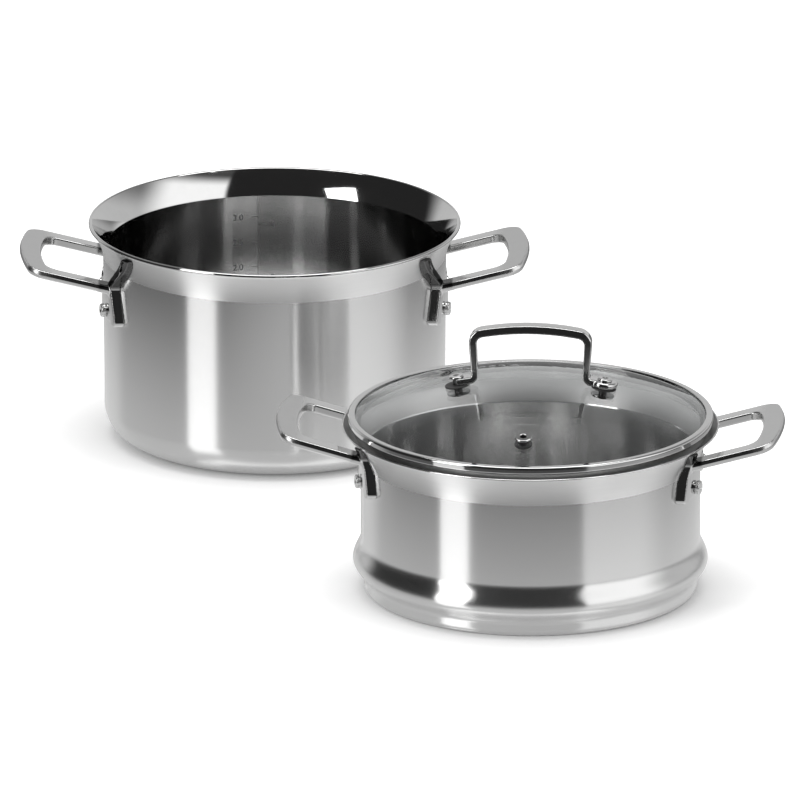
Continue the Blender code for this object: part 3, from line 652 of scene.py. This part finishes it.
def swell(start, end, low, high, count=48):
    """A smooth S between two radii, without its first point."""
    return [(low + (high - low) * (1 - math.cos(math.pi * share)) / 2,
             start + (end - start) * share)
            for share in (i / count for i in range(1, count + 1))]


start, crest, stop = BEAD_HEIGHTS
low = [(0.0, 0.0)] + bow((SPIGOT_RADIUS - STEAMER_CORNER, STEAMER_CORNER), STEAMER_CORNER,
                         -90.0, 0.0)
low += [(SPIGOT_RADIUS, start)] + swell(start, crest, SPIGOT_RADIUS, BEAD_RADIUS)
low += swell(crest, stop, BEAD_RADIUS, STEAMER_RADIUS)
low.append((STEAMER_RADIUS, STEAMER_HEIGHT - STEAMER_FLARE))
steamer_flare = flare(STEAMER_RADIUS, STEAMER_HEIGHT, STEAMER_FLARE,
                      RIM_RADIUS - STEAMER_RADIUS, OUTER_CREASE)
steamer_mesh = vessel_mesh("steamer_shell", low, steamer_flare, STEAMER_WALL, STEAMER_CREASE,
                           SEAT)


def worked(made):
    """The mesh of an object after its modifiers. The object itself is removed."""
    graph = bpy.context.evaluated_depsgraph_get()
    mesh = bpy.data.meshes.new_from_object(made.evaluated_get(graph))
    bpy.data.objects.remove(made, do_unlink=True)
    return mesh


def combine(mesh, other, operation):
    """Join, cut or intersect two closed meshes, and return the result."""
    work = placed("work", mesh)
    tool = placed("tool", other)
    change = work.modifiers.new("shape", "BOOLEAN")
    change.operation = operation
    change.solver = "EXACT"
    change.object = tool
    result = worked(work)
    bpy.data.objects.remove(tool, do_unlink=True)
    return result


punches = bmesh.new()
for number, count in enumerate(HOLE_RINGS, start=1):
    for index in range(count):
        angle = math.tau * (index + number % 2 / 2) / count
        spot = Matrix.Translation((number * HOLE_PITCH * math.cos(angle),
                                   number * HOLE_PITCH * math.sin(angle), 0.0))
        bmesh.ops.create_cone(punches, cap_ends=True, segments=28, radius1=HOLE_RADIUS,
                              radius2=HOLE_RADIUS, depth=STEAMER_WALL * 4, matrix=spot)
steamer_mesh = combine(steamer_mesh, baked(punches, "punches", outwards=False), "DIFFERENCE")
steamer_matrix = Matrix.Translation(STEAMER_PLACE) @ spun(STEAMER_TURN)
steamer_finishes = (outside, mirror, lower_inside, seat_steel, flare_steel_painted_light, base_steel_painted_dark)
show("steamer_shell", steamer_mesh, steamer_finishes, "steamer", ("steamer_body",),
     "satin_steel", steamer_matrix, sharp=CREASE_SHOWS)
print("steamer shell:", len(steamer_mesh.polygons), "faces,", sum(HOLE_RINGS), "holes")

# %% [markdown]
# ## The side handles
# Each handle is one forged bar: a loop that rises outwards and bends down into two legs. A
# rib runs from each leg up to the rim, and a thin tab beside it takes the rivet. A forging
# has no sharp edges, and its arms melt into its legs. So simple solids that overlap are
# rebuilt from small cubes (a voxel remesh), which makes one skin round all of them, and the
# skin is smoothed, which rounds each edge as buffing does.

# %% Solids that the handle is cut from
FIT = 0.3 * MM


def rounded(corners, step=5.0):
    """An outline whose corners, given as (x, y, radius), are rounded by arcs."""
    outline = []
    for index, (x, y, radius) in enumerate(corners):
        here = Vector((x, y))
        if radius <= 0:
            outline.append((x, y))
            continue
        before = (Vector(corners[index - 1][:2]) - here).normalized()
        after = (Vector(corners[(index + 1) % len(corners)][:2]) - here).normalized()
        half_angle = before.angle(after) / 2
        centre = here + (before + after).normalized() * (radius / math.sin(half_angle))
        reach = radius / math.tan(half_angle)
        first = here + before * reach - centre
        turn = first.angle_signed(here + after * reach - centre)
        count = max(2, math.ceil(abs(math.degrees(turn)) / step) + 1)
        for i in range(count):
            spoke = first.copy()
            spoke.rotate(Matrix.Rotation(-turn * i / (count - 1), 2))
            outline.append(tuple(centre + spoke))
    return outline


def slab(outline, depth, axes):
    """An outline pushed from -depth to +depth along the third of three axes."""
    shape = bmesh.new()
    across, up, along = (Vector(axis) for axis in axes)
    base = shape.faces.new([shape.verts.new(across * u + up * v - along * depth)
                            for u, v in outline])
    pushed = bmesh.ops.extrude_face_region(shape, geom=[base])
    moved = [item for item in pushed["geom"] if isinstance(item, bmesh.types.BMVert)]
    bmesh.ops.translate(shape, verts=moved, vec=along * depth * 2)
    return baked(shape, "slab")


def loop_outline(root, tip, half_width, corner):
    """Seen from above: level sides, and an end that is an arc round the vessel's axis."""
    across = half_width - corner
    reach = math.sqrt((tip - corner) ** 2 - across ** 2)
    bend = math.degrees(math.atan2(across, reach))
    near = bow((reach, -across), corner, -90.0, -bend, count=18)
    end = bow((0.0, 0.0), tip, -bend, bend, count=28)
    far = bow((reach, across), corner, bend, 90.0, count=18)
    return [(root, -half_width)] + near + end[1:-1] + far + [(root, half_width)]


def loop_bar(outer, inner, top_at, thick):
    """A bar between two outlines seen from above: slanted outside, upright inside."""
    rings = []
    for start, end in zip(outer, inner):
        first = Vector(start)
        across = Vector(end) - first
        width = across.length
        across.normalize()
        section = rounded([(1.2 * MM, thick, 0.5 * MM), (0.0, 2.6 * MM, 0.5 * MM),
                           (1.1 * MM, 0.0, 0.4 * MM), (width, 0.0, 0.6 * MM),
                           (width, thick, 0.6 * MM)], step=13.0)
        spots = [(first + across * inwards, down) for inwards, down in section]
        rings.append([(spot.x, spot.y, top_at(spot.x) - down) for spot, down in spots])
    return skinned(rings, "loop")


SIDE = ((1, 0, 0), (0, 0, 1), (0, 1, 0))
FRONT = ((0, 1, 0), (0, 0, 1), (1, 0, 0))
print("gap between pieces in mm:", round(FIT * 1000, 2))

# %% [markdown]
# The reach is that of the part, 50 mm. The forging adds what a plain solid leaves out: arms
# with slanted outer faces, 11.3 mm wide and 5 mm thick, and a solid end of 12.8 mm. Leg and
# rib are one bar that stands 5 mm off the wall. Its shape is drawn on the wall, in
# millimetres across from the middle of the handle and up from the top of the arms: it
# narrows below the arms and swings outwards to the rim above them.

# %% Shape of a side handle
REACH = 50.0 * MM
HALF_WIDTH = 43.3 * MM
ARM_WIDTH = 11.3 * MM
ARM_THICK = 5.0 * MM
END_PAD = 12.8 * MM
LEG_DROP = 25.3 * MM
LEG_HALF = 45.5 * MM
LEG_THICK = 5.2 * MM
RIB_THINNER = 3.2 * MM
TAB_THICK = 2.4 * MM
TAB_INNER = 17.0 * MM
TAB_TOP = 8.0 * MM
RIVET_OFFSET = 25.5 * MM
RIVET_DROP = 20.5 * MM
BEND_RADIUS = 4.0 * MM
PLATE_DEPTH = 19.0 * MM
VOXEL = 0.4 * MM
HANDLE_ROUNDS = 10
HANDLE_SATIN = 127.0 * MM
END_CORNER = 11.0 * MM
WINDOW_CORNER = 8.0 * MM
TAB_CORNER = 4.5 * MM
RIB_NEAR = [(49.2, -25.3, 2.8), (43.3, -1.2, 4.0), (55.8, 9.9, 30.0), (68.2, 22.9, 0)]
RIB_FAR = [(62.4, 22.9, 0), (52.6, 13.6, 30.0), (39.0, 0.5, 5.0), (39.0, -6.0, 10.0),
           (43.4, -25.3, 2.2)]


def leg_plate(hull_path, outline):
    """An upright outline with a round outer face, which follows the flare at its top."""
    blank = slab(outline, PLATE_DEPTH, FRONT)
    blank.transform(Matrix.Translation((RIM_RADIUS + FIT - PLATE_DEPTH, 0, 0)))
    hull = turned("hull", [(0, [(0.0, 0.0)] + hull_path + [(0.0, hull_path[-1][1])])], steps=144)
    return combine(blank, hull, "INTERSECT")


def handle_mesh(radius, height, wall, arm_top, rise, flare_path):
    """The loop, its bends, ribs and tabs as overlapping solids in one mesh."""
    slope = math.tan(math.radians(rise))
    root = math.sqrt(radius ** 2 - LEG_HALF ** 2) - ARM_WIDTH
    tip = radius + REACH
    thick = ARM_THICK / math.cos(math.radians(rise))
    window = loop_outline(root, tip - END_PAD, HALF_WIDTH - ARM_WIDTH, WINDOW_CORNER)
    solids = [loop_bar(loop_outline(root, tip, HALF_WIDTH, END_CORNER), window,
                       lambda x: arm_top + (x - radius) * slope, thick)]
    leg = math.sqrt((radius + LEG_THICK) ** 2 - HALF_WIDTH ** 2)
    under = arm_top + (leg - radius) * slope - thick
    reach = 2 * BEND_RADIUS
    side = rounded([(root, under - reach, 0), (leg, under - reach, 0),
                    (leg, under, BEND_RADIUS), (leg + reach, under + reach * slope, 0),
                    (leg + reach, under + reach * slope + thick / 2, 0),
                    (root, arm_top + (root - radius) * slope - thick / 2, 0)])
    foot = arm_top - LEG_DROP
    tab = rounded([(TAB_INNER, foot, TAB_CORNER), (LEG_HALF - 1.0 * MM, foot, 0),
                   (LEG_HALF - 1.0 * MM, arm_top - TAB_TOP, 0),
                   (TAB_INNER, arm_top - TAB_TOP, TAB_CORNER)])
    rib = rounded([(u * MM, v * MM + arm_top, r * MM) for u, v, r in RIB_NEAR + RIB_FAR])
    roof = height - wall
    last = len(flare_path) - 1
    rib_hull = [(radius + LEG_THICK, 0.0)]
    rib_hull += [(min(r + LEG_THICK - RIB_THINNER * i / last, RIM_RADIUS), z)
                 for i, (r, z) in enumerate(flare_path) if z < roof]
    tab_hull = [(radius + TAB_THICK, 0.0), (radius + TAB_THICK, height)]
    for sign in (-1, 1):
        bend = slab(side, ARM_WIDTH / 2 - 0.6 * MM, SIDE)
        bend.transform(Matrix.Translation((0, sign * (HALF_WIDTH - ARM_WIDTH / 2), 0)))
        solids.append(bend)
        for outline, hull_path in ((rib, rib_hull), (tab, tab_hull)):
            solids.append(leg_plate(hull_path, [(sign * u, v) for u, v in outline]))
    whole = bmesh.new()
    for solid in solids:
        whole.from_mesh(solid)
    return baked(whole, "handle", outwards=False)


def vessel_solid(radius, height, flare_path):
    """The vessel's outside, a little larger, and on up past its rim: a handle stops here."""
    top = height + 20.0 * MM
    face = [(r + FIT, z) for r, z in flare_path]
    return turned("wall", [(0, [(0, 0), (radius + FIT, 0)] + face
                                + [(RIM_RADIUS + FIT, top), (0, top)])], steps=144)


def buffed(mesh, voxel, rounds):
    """Rebuild a rough solid from small cubes and smooth it, which rounds its edges."""
    work = placed("work", mesh)
    cubes = work.modifiers.new("cubes", "REMESH")
    cubes.mode = "VOXEL"
    cubes.voxel_size = voxel
    soft = work.modifiers.new("soft", "SMOOTH")
    soft.factor = 0.5
    soft.iterations = rounds
    return worked(work)


VESSELS = {
    "pot": (POT_RADIUS, POT_HEIGHT, POT_WALL, 105.3 * MM, 13.8, pot_flare),
    "steamer": (STEAMER_RADIUS, STEAMER_HEIGHT, STEAMER_WALL, 92.1 * MM, 15.4,
                steamer_flare),
}
BODY_MATRIX = {"pot": spun(POT_TURN), "steamer": steamer_matrix}
SIDES = (("right", 0.0), ("left", 180.0))
for vessel, sizes in VESSELS.items():
    radius, height, _, arm_top, _, flare_path = sizes
    # Each side handle's steel is painted nearly black in the hollow between rim and arm: painted
    # shade.
    buffed_shaded = polished_steel(f"buffed_forging_painted_shade_{vessel}", 0.07, spread=0.03,
                             satin_from=HANDLE_SATIN,
                             hollow=(radius + 2.0 * MM, arm_top - 3.5 * MM))
    rough = handle_mesh(*sizes)
    wall = vessel_solid(radius, height, flare_path)
    smooth = combine(buffed(rough, VOXEL, HANDLE_ROUNDS), wall, "DIFFERENCE")
    for side, angle in SIDES:
        matrix = BODY_MATRIX[vessel] @ spun(angle)
        node = f"{vessel}_handle_{side}"
        show(f"{node}_forging", smooth.copy(), (buffed_shaded,), vessel, (node,), "polished_steel",
             matrix, sharp=150.0)
    print(vessel, "handle:", len(smooth.polygons), "faces")

# %% [markdown]
# ## Rivets
# A rivet is turned, and its head gets a dimple from the setting punch. The outline is drawn
# once and set into the wall's own frame, square to the wall, four times on each vessel.

# %% Side rivets
RIVET_HEAD = 4.1 * MM
RIVET_TALL = 2.2 * MM
SHANK = 2.4 * MM


def head(radius, low, height, dimple, depth=0.8 * MM):
    """Outline of a domed head with a dimple, from its seat to its middle."""
    edge = 0.8 * MM
    top = low + height
    rim = [(radius, low), (radius, top - edge)]
    rim += bow((radius - edge, top - edge), edge, 0.0, 90.0, step=12.0)[1:]
    hollow = [(dimple + (radius - dimple) * 0.25, top - 0.02 * MM)]
    hollow += [(dimple * share, top - depth * (1 - share ** 2))
               for share in (1.0, 0.8, 0.6, 0.4, 0.2, 0.0)]
    return rim + hollow


def tail(radius, seat, height):
    """Outline of a low button from its middle to its seat, facing the other way."""
    return [(radius * math.sin(math.radians(a)), seat - height * math.cos(math.radians(a)))
            for a in range(0, 91, 10)]


def wall_frame(radius, height, side):
    """A frame on the wall with Z along the rivet, pointing outwards."""
    spin = Matrix.Rotation(side * math.asin(RIVET_OFFSET / radius), 4, "Z")
    out = Matrix.Translation((radius, 0, height)) @ Matrix.Rotation(math.pi / 2, 4, "Y")
    return spin @ out


for vessel, (radius, height, wall, arm_top, rise, _) in VESSELS.items():
    back = -wall - FIT - 0.65 * MM
    seat = TAB_THICK + 2 * FIT
    outline = tail(5.5 * MM, back, 1.2 * MM) + [(SHANK, back), (SHANK, seat)]
    outline += head(RIVET_HEAD, seat, RIVET_TALL, 1.7 * MM)
    for side, angle in SIDES:
        for row, sign in (("front", -1), ("back", 1)):
            turned_sign = sign if side == "right" else -sign
            matrix = (BODY_MATRIX[vessel] @ spun(angle)
                      @ wall_frame(radius, arm_top - RIVET_DROP, turned_sign))
            node = f"{vessel}_rivet_{side}_{row}"
            show(f"{node}_set", turned("rivet", [(0, outline)], steps=48), (mirror,), vessel,
                 (node,), "polished_steel", matrix)
print("side rivets set: 8")

# %% [markdown]
# ## Glass
# Tempered lid glass is clear, and what shows of it is reflection: little where one looks
# straight through, and nearly all of it at a low angle. A thin pane bends light so little
# that refraction can be left out, which lets the light of the lamps into the steamer: the
# shader is a mirror that is mostly see-through, with a power of the angle deciding how much.

# %% Glass finish
glass_look = Look("tempered_glass")
facing = glass_look.node("ShaderNodeLayerWeight", sockets={"Blend": 0.5}, output="Facing")
bounced = glass_look.maths("POWER", facing, 5.0)
smears = glass_look.grain(22.0, detail=4.0)
glass_look.set(base_color=(0.93, 0.95, 0.95, 1), metallic=1.0, roughness=0.02,
               alpha=0.05 + 1.2 * bounced + 0.02 * smears)


def grey_look(name, bumps, dark, light, **values):
    """A finish with a fine grain between two greys."""
    look = Look(name)
    tint = look.blend(look.grain(bumps), (dark, dark, dark, 1), (light, light, light, 1))
    look.set(base_color=tint, **values)
    return look.made


rubber = grey_look("gasket", 3000.0, dark=0.03, light=0.06, roughness=0.55)
print("glass and gasket finishes ready")

# %% [markdown]
# The glass is a cap of a sphere with a flat edge. Its crown and its edge are measured on
# the frame, and the radius of the sphere follows from them.

# %% Lid glass
LID_MATRIX = steamer_matrix
GLASS_THICK = 3.0 * MM
GLASS_EDGE = 107.0 * MM
GLASS_LAND = 3.5 * MM
glass_low, glass_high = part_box("lid_glass")
dome_reach = GLASS_EDGE - GLASS_LAND
dome_rise = glass_high.z - glass_low.z - GLASS_THICK
dome_radius = (dome_reach ** 2 + dome_rise ** 2) / (2 * dome_rise)
dome_centre = glass_high.z - dome_radius
spread = math.degrees(math.asin(dome_reach / dome_radius))
outer_dome = bow((0.0, dome_centre), dome_radius, 90.0, 90.0 - spread, step=0.6)
inner_dome = bow((0.0, dome_centre), dome_radius - GLASS_THICK, 90.0, 90.0 - spread, step=0.6)
for dome in (outer_dome, inner_dome):
    dome[0] = (0.0, dome[0][1])
edge_low = glass_low.z
edge_top = edge_low + GLASS_THICK
inner_dome[-1] = (dome_reach - GLASS_THICK / 2, edge_low)
rim = bow((GLASS_EDGE - GLASS_THICK / 2, (edge_low + edge_top) / 2), GLASS_THICK / 2,
          90.0, -90.0, step=15.0)
glass_mesh = turned("lid_glass", [(0, outer_dome + rim + inner_dome[::-1])])
show("lid_glass_dome", glass_mesh, (glass_look.made,), "lid", ("lid_glass",),
     "tempered_glass", LID_MATRIX)
print("sphere of the glass:", round(dome_radius * 1000, 1), "mm")

# %% [markdown]
# ## The band
# A strip of polished steel is rolled round the edge of the glass. Below it hangs a skirt
# that slips into the flare and keeps the lid from sliding.

# %% Lid band
BAND_RADIUS = 107.9 * MM
BAND_SHEET = 0.6 * MM
SKIRT_RADIUS = 104.4 * MM
SKIRT_SHEET = 0.8 * MM
band_low, band_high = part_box("lid_band")
floor = edge_low - FIT - BAND_SHEET
roof = band_high.z
skirt_in = SKIRT_RADIUS - SKIRT_SHEET
channel = BAND_RADIUS - BAND_SHEET
lip_radius = dome_reach + 0.2 * MM
band_outline = rounded([
    (skirt_in, band_low.z, 0.3 * MM), (SKIRT_RADIUS, band_low.z, 0.3 * MM),
    (SKIRT_RADIUS, floor, 0.5 * MM), (BAND_RADIUS, floor, 1.3 * MM),
    (BAND_RADIUS, roof, 1.3 * MM), (lip_radius, roof, 0.25 * MM),
    (lip_radius, roof - BAND_SHEET, 0.2 * MM), (channel, roof - BAND_SHEET, 0.3 * MM),
    (channel, floor + BAND_SHEET, 0.3 * MM), (skirt_in, floor + BAND_SHEET, 0.3 * MM)],
    step=12.0)
band_mesh = turned("lid_band", [(0, band_outline + [band_outline[0]])])
show("lid_band_rolled", band_mesh, (mirror,), "lid", ("lid_band",), "polished_steel",
     LID_MATRIX)
print("band height in mm:", round((roof - floor) * 1000, 2))

# %% [markdown]
# ## The lid's handle
# A strap of steel is bent into an arch, and its ends are flattened into round eyes that lie
# on gaskets. The strap is one rounded section carried along a line, and the eyes are turned.
# A short bar joins each eye to its leg. Joined and buffed like the side handles, they
# become one piece.

# %% Lid handle
RIVET_SPAN = 43.0 * MM
STRAP_WIDTH = 10.5 * MM
STRAP_THICK = 4.8 * MM
STRAP_LEG = 34.4 * MM
STRAP_FOOT = 32.8 * MM
ARCH_RADIUS = 157.0 * MM
ARCH_HALF = 28.0 * MM
GASKET_THICK = 1.2 * MM
GRIP_ABOVE_GLASS = 35.7 * MM
EYE_THICK = 3.6 * MM
EYE_RADIUS = 8.0 * MM
NECK_LENGTH = 9.6 * MM
NECK_HALF = 5.0 * MM


def dome_frame(radius, bearing):
    """A frame on the outer face of the glass, with Z square to it."""
    tilt = math.asin(radius / dome_radius)
    return (Matrix.Translation((0, 0, dome_centre)) @ spun(bearing)
            @ Matrix.Rotation(tilt, 4, "Y") @ Matrix.Translation((0, 0, dome_radius)))


def strap(path, width, thick, taper):
    """A slightly tapered section swept along a line in the XZ plane, with closed ends."""
    section = rounded([(-width * 0.40, -thick / 2, 0.6 * MM),
                       (width * 0.40, -thick / 2, 0.6 * MM),
                       (width / 2, thick / 2, 0.6 * MM),
                       (-width / 2, thick / 2, 0.6 * MM)], step=14.0)
    low = min(height for _, height in path)
    high = max(height for _, height in path)
    rings = []
    for point, normal in zip(path, normals(path)):
        slimmer = 1.0 - taper * (high - point[1]) / (high - low)
        rings.append([(point[0] + normal.x * out * slimmer, across,
                       point[1] + normal.y * out * slimmer) for across, out in section])
    return skinned(rings, "strap")


eye_low = FIT + GASKET_THICK + FIT
eye_high = eye_low + EYE_THICK
foot_point = dome_frame(RIVET_SPAN, 0.0) @ Vector((0, 0, (eye_low + eye_high) / 2))
slope = RIVET_SPAN / math.sqrt(dome_radius ** 2 - RIVET_SPAN ** 2)
bend_height = foot_point.z + (foot_point.x - STRAP_FOOT) * slope
grip = glass_high.z + GRIP_ABOVE_GLASS - STRAP_THICK / 2
arch_drop = ARCH_HALF ** 2 / (2 * ARCH_RADIUS)
corner_drop = arch_drop + (STRAP_LEG - ARCH_HALF) * ARCH_HALF / ARCH_RADIUS
half_path = rounded([(foot_point.x, foot_point.z, 0), (STRAP_FOOT, bend_height, 3.6 * MM),
                     (STRAP_LEG, grip - corner_drop, 6.5 * MM),
                     (ARCH_HALF, grip - arch_drop, 0)], step=6.0)
for i in range(6, -1, -1):
    across = ARCH_HALF * i / 7
    half_path.append((across, grip - across ** 2 / (2 * ARCH_RADIUS)))
path = half_path + [(-u, v) for u, v in half_path[-2::-1]]
handle = strap(path, STRAP_WIDTH, STRAP_THICK, taper=0.18)
neck = [(-NECK_LENGTH, eye_low), (0.0, eye_low), (0.0, eye_high), (-NECK_LENGTH, eye_high)]
disc = rounded([(0, eye_low, 0), (EYE_RADIUS, eye_low, 1.2 * MM),
                (EYE_RADIUS, eye_high, 1.6 * MM), (0, eye_high, 0)], step=10.0)
for _, bearing in SIDES:
    for part in (slab(neck, NECK_HALF, SIDE), turned("eye", [(0, disc)], steps=64)):
        part.transform(dome_frame(RIVET_SPAN, bearing))
        handle = combine(handle, part, "UNION")
handle = buffed(handle, voxel=0.35 * MM, rounds=12)
show("lid_handle_strap", handle, (forged,), "lid", ("lid_handle",), "polished_steel",
     LID_MATRIX, sharp=150.0)
print("lid handle:", len(handle.polygons), "faces, arch", round(grip * 1000, 1), "mm high")

# %% [markdown]
# ## The lid's small parts
# Rivet, gasket and washer at each end of the handle, and a steel eyelet as steam vent. All
# are turned, and each is set into the frame that stands square to the glass. Rivets and
# vent are bright above the glass, and below it they are dull and painted dark: painted shade.

# %% Rivets, gaskets, washers and vent
BORE = 2.7 * MM
WASHER_THICK = 1.0 * MM
VENT_OFFSET = 77.0 * MM
VENT_FLANGE = 1.3 * MM
VENT_BORE = 2.0 * MM
VENT_NECK = 3.4 * MM
VENT_EDGE = 5.2 * MM


def ring_outline(inner, outer, low, high, edge):
    """A washer's section with rounded outer corners. It ends where it starts."""
    return rounded([(inner, low, 0), (outer, low, edge), (outer, high, edge),
                    (inner, high, 0)], step=15.0) + [(inner, low)]


washer_low = -GLASS_THICK - FIT - WASHER_THICK
tail_seat = washer_low - FIT
head_seat = eye_high + FIT
set_tail = tail(4.8 * MM, tail_seat, 1.3 * MM) + [(SHANK, tail_seat), (SHANK, head_seat)]
set_head = head(4.4 * MM, head_seat, 1.1 * MM, 2.0 * MM, depth=0.6 * MM)
gasket = ring_outline(BORE, 7.5 * MM, FIT, FIT + GASKET_THICK, 0.4 * MM)
washer = ring_outline(BORE, 7.0 * MM, washer_low, washer_low + WASHER_THICK, 0.3 * MM)
small = {
    "rivet": ([(1, set_tail), (0, set_head)], (mirror, dull_painted_dark), "polished_steel"),
    "gasket": ([(0, gasket)], (rubber,), "silicone"),
    "washer": ([(0, washer)], (dull_painted_dark,), "polished_steel"),
}
for kind, (stretches, finishes, slot) in small.items():
    for side, bearing in SIDES:
        node = f"lid_{kind}_{side}"
        show(f"{node}_fine", turned(kind, stretches, steps=56), finishes, "lid", (node,), slot,
             LID_MATRIX @ dome_frame(RIVET_SPAN, bearing))
vent_low = -GLASS_THICK - FIT
vent_top = 2 * FIT
vent_roof = vent_top + VENT_FLANGE
vent_floor = vent_low - VENT_FLANGE
vent = rounded([(VENT_NECK, vent_top, 0), (VENT_EDGE, vent_top, 0.2 * MM),
                (VENT_EDGE, vent_roof, 0.6 * MM), (VENT_BORE, vent_roof, 0.5 * MM),
                (VENT_BORE, vent_floor, 0.3 * MM), (VENT_EDGE, vent_floor, 0.6 * MM),
                (VENT_EDGE, vent_low, 0), (VENT_NECK, vent_low, 0)], step=12.0)
above = [point for point in vent if point[1] > vent_low / 2]
below = [point for point in vent if point[1] <= vent_low / 2] + [vent[0]]
vent_mesh = turned("vent", [(0, above), (1, below)], steps=56)
show("vent_grommet_fine", vent_mesh, (mirror, dull_painted_dark), "lid", ("vent_grommet",),
     "polished_steel", LID_MATRIX @ dome_frame(VENT_OFFSET, -90.0))
print("small parts of the lid: 7")

# %% [markdown]
# ## The scale inside the pot
# Marks for half litres are etched into the inside wall: an upright line, short ticks and
# plain numbers. They are made as flat text, turned into a mesh and bent round the wall.

# %% Litre scale
ETCH_RADIUS = POT_RADIUS - POT_WALL - 0.12 * MM
LINE_X = -10.4 * MM
STROKE = 0.3 * MM
NUMBER_SIZE = 5.4 * MM
LEFT_NUMBERS = {"2.0": 72.7, "2.5": 88.4, "3.0": 104.0}
RIGHT_NUMBERS = {"2": 66.0, "3": 99.0}
etched = grey_look("etched_marks", 2500.0, dark=0.10, light=0.18, metallic=0.4, roughness=0.7)


def bent_inside(mesh):
    """Wrap a flat mesh of (across, up) round the inside of the far wall."""
    for vertex in mesh.vertices:
        across, up, _ = vertex.co
        radius = ETCH_RADIUS - POT_INSET * (1 - up / (POT_HEIGHT - POT_FLARE))
        vertex.co = (radius * math.sin(across / radius), radius * math.cos(across / radius), up)
    return mesh


def mark(left, low, width, height):
    """A thin upright or level stroke, in steps short enough to bend."""
    shape = bmesh.new()
    count = max(1, round(width / (0.5 * MM)))
    lower, upper = ([shape.verts.new((left + width * i / count, up, 0))
                     for i in range(count + 1)] for up in (low, low + height))
    for i in range(count):
        shape.faces.new((lower[i], lower[i + 1], upper[i + 1], upper[i]))
    return baked(shape, "mark", outwards=False)


def number(text, left, low, size):
    """A flat number with fine faces."""
    curve = bpy.data.curves.new("number", "FONT")
    curve.body = text
    curve.size = size
    curve.fill_mode = "FRONT"
    mesh = worked(placed("number", curve))
    mesh.transform(Matrix.Translation((left, low, 0)))
    return mesh


marks = [mark(LINE_X - STROKE / 2, 30.0 * MM, STROKE, 86.0 * MM)]
for text, level in LEFT_NUMBERS.items():
    marks.append(number(text, LINE_X - 15.5 * MM, (level - 1.9) * MM, NUMBER_SIZE))
    marks.append(mark(LINE_X - 4.0 * MM, level * MM, 4.0 * MM, STROKE))
for text, level in RIGHT_NUMBERS.items():
    marks.append(mark(LINE_X, level * MM, 5.0 * MM, STROKE))
    marks.append(number(text, LINE_X + 7.5 * MM, (level - 1.9) * MM, NUMBER_SIZE))
scale = bmesh.new()
for mesh in marks:
    scale.from_mesh(bent_inside(mesh))
scale_mesh = baked(scale, "litre_scale", outwards=False)
show("litre_scale", scale_mesh, (etched,), "pot", (), "satin_steel")
print("marks on the scale:", len(marks))

# %% [markdown]
# ## Measure and finish
# The finished model may not be larger than the frame's box. Both boxes, the frame's and
# the finished model's, are gathered as the last value of the cell.

# %% Gather the boxes and finish
boxes = {"cad": cad_box, "visual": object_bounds()}
{key: [list(corner) for corner in box] for key, box in boxes.items()}
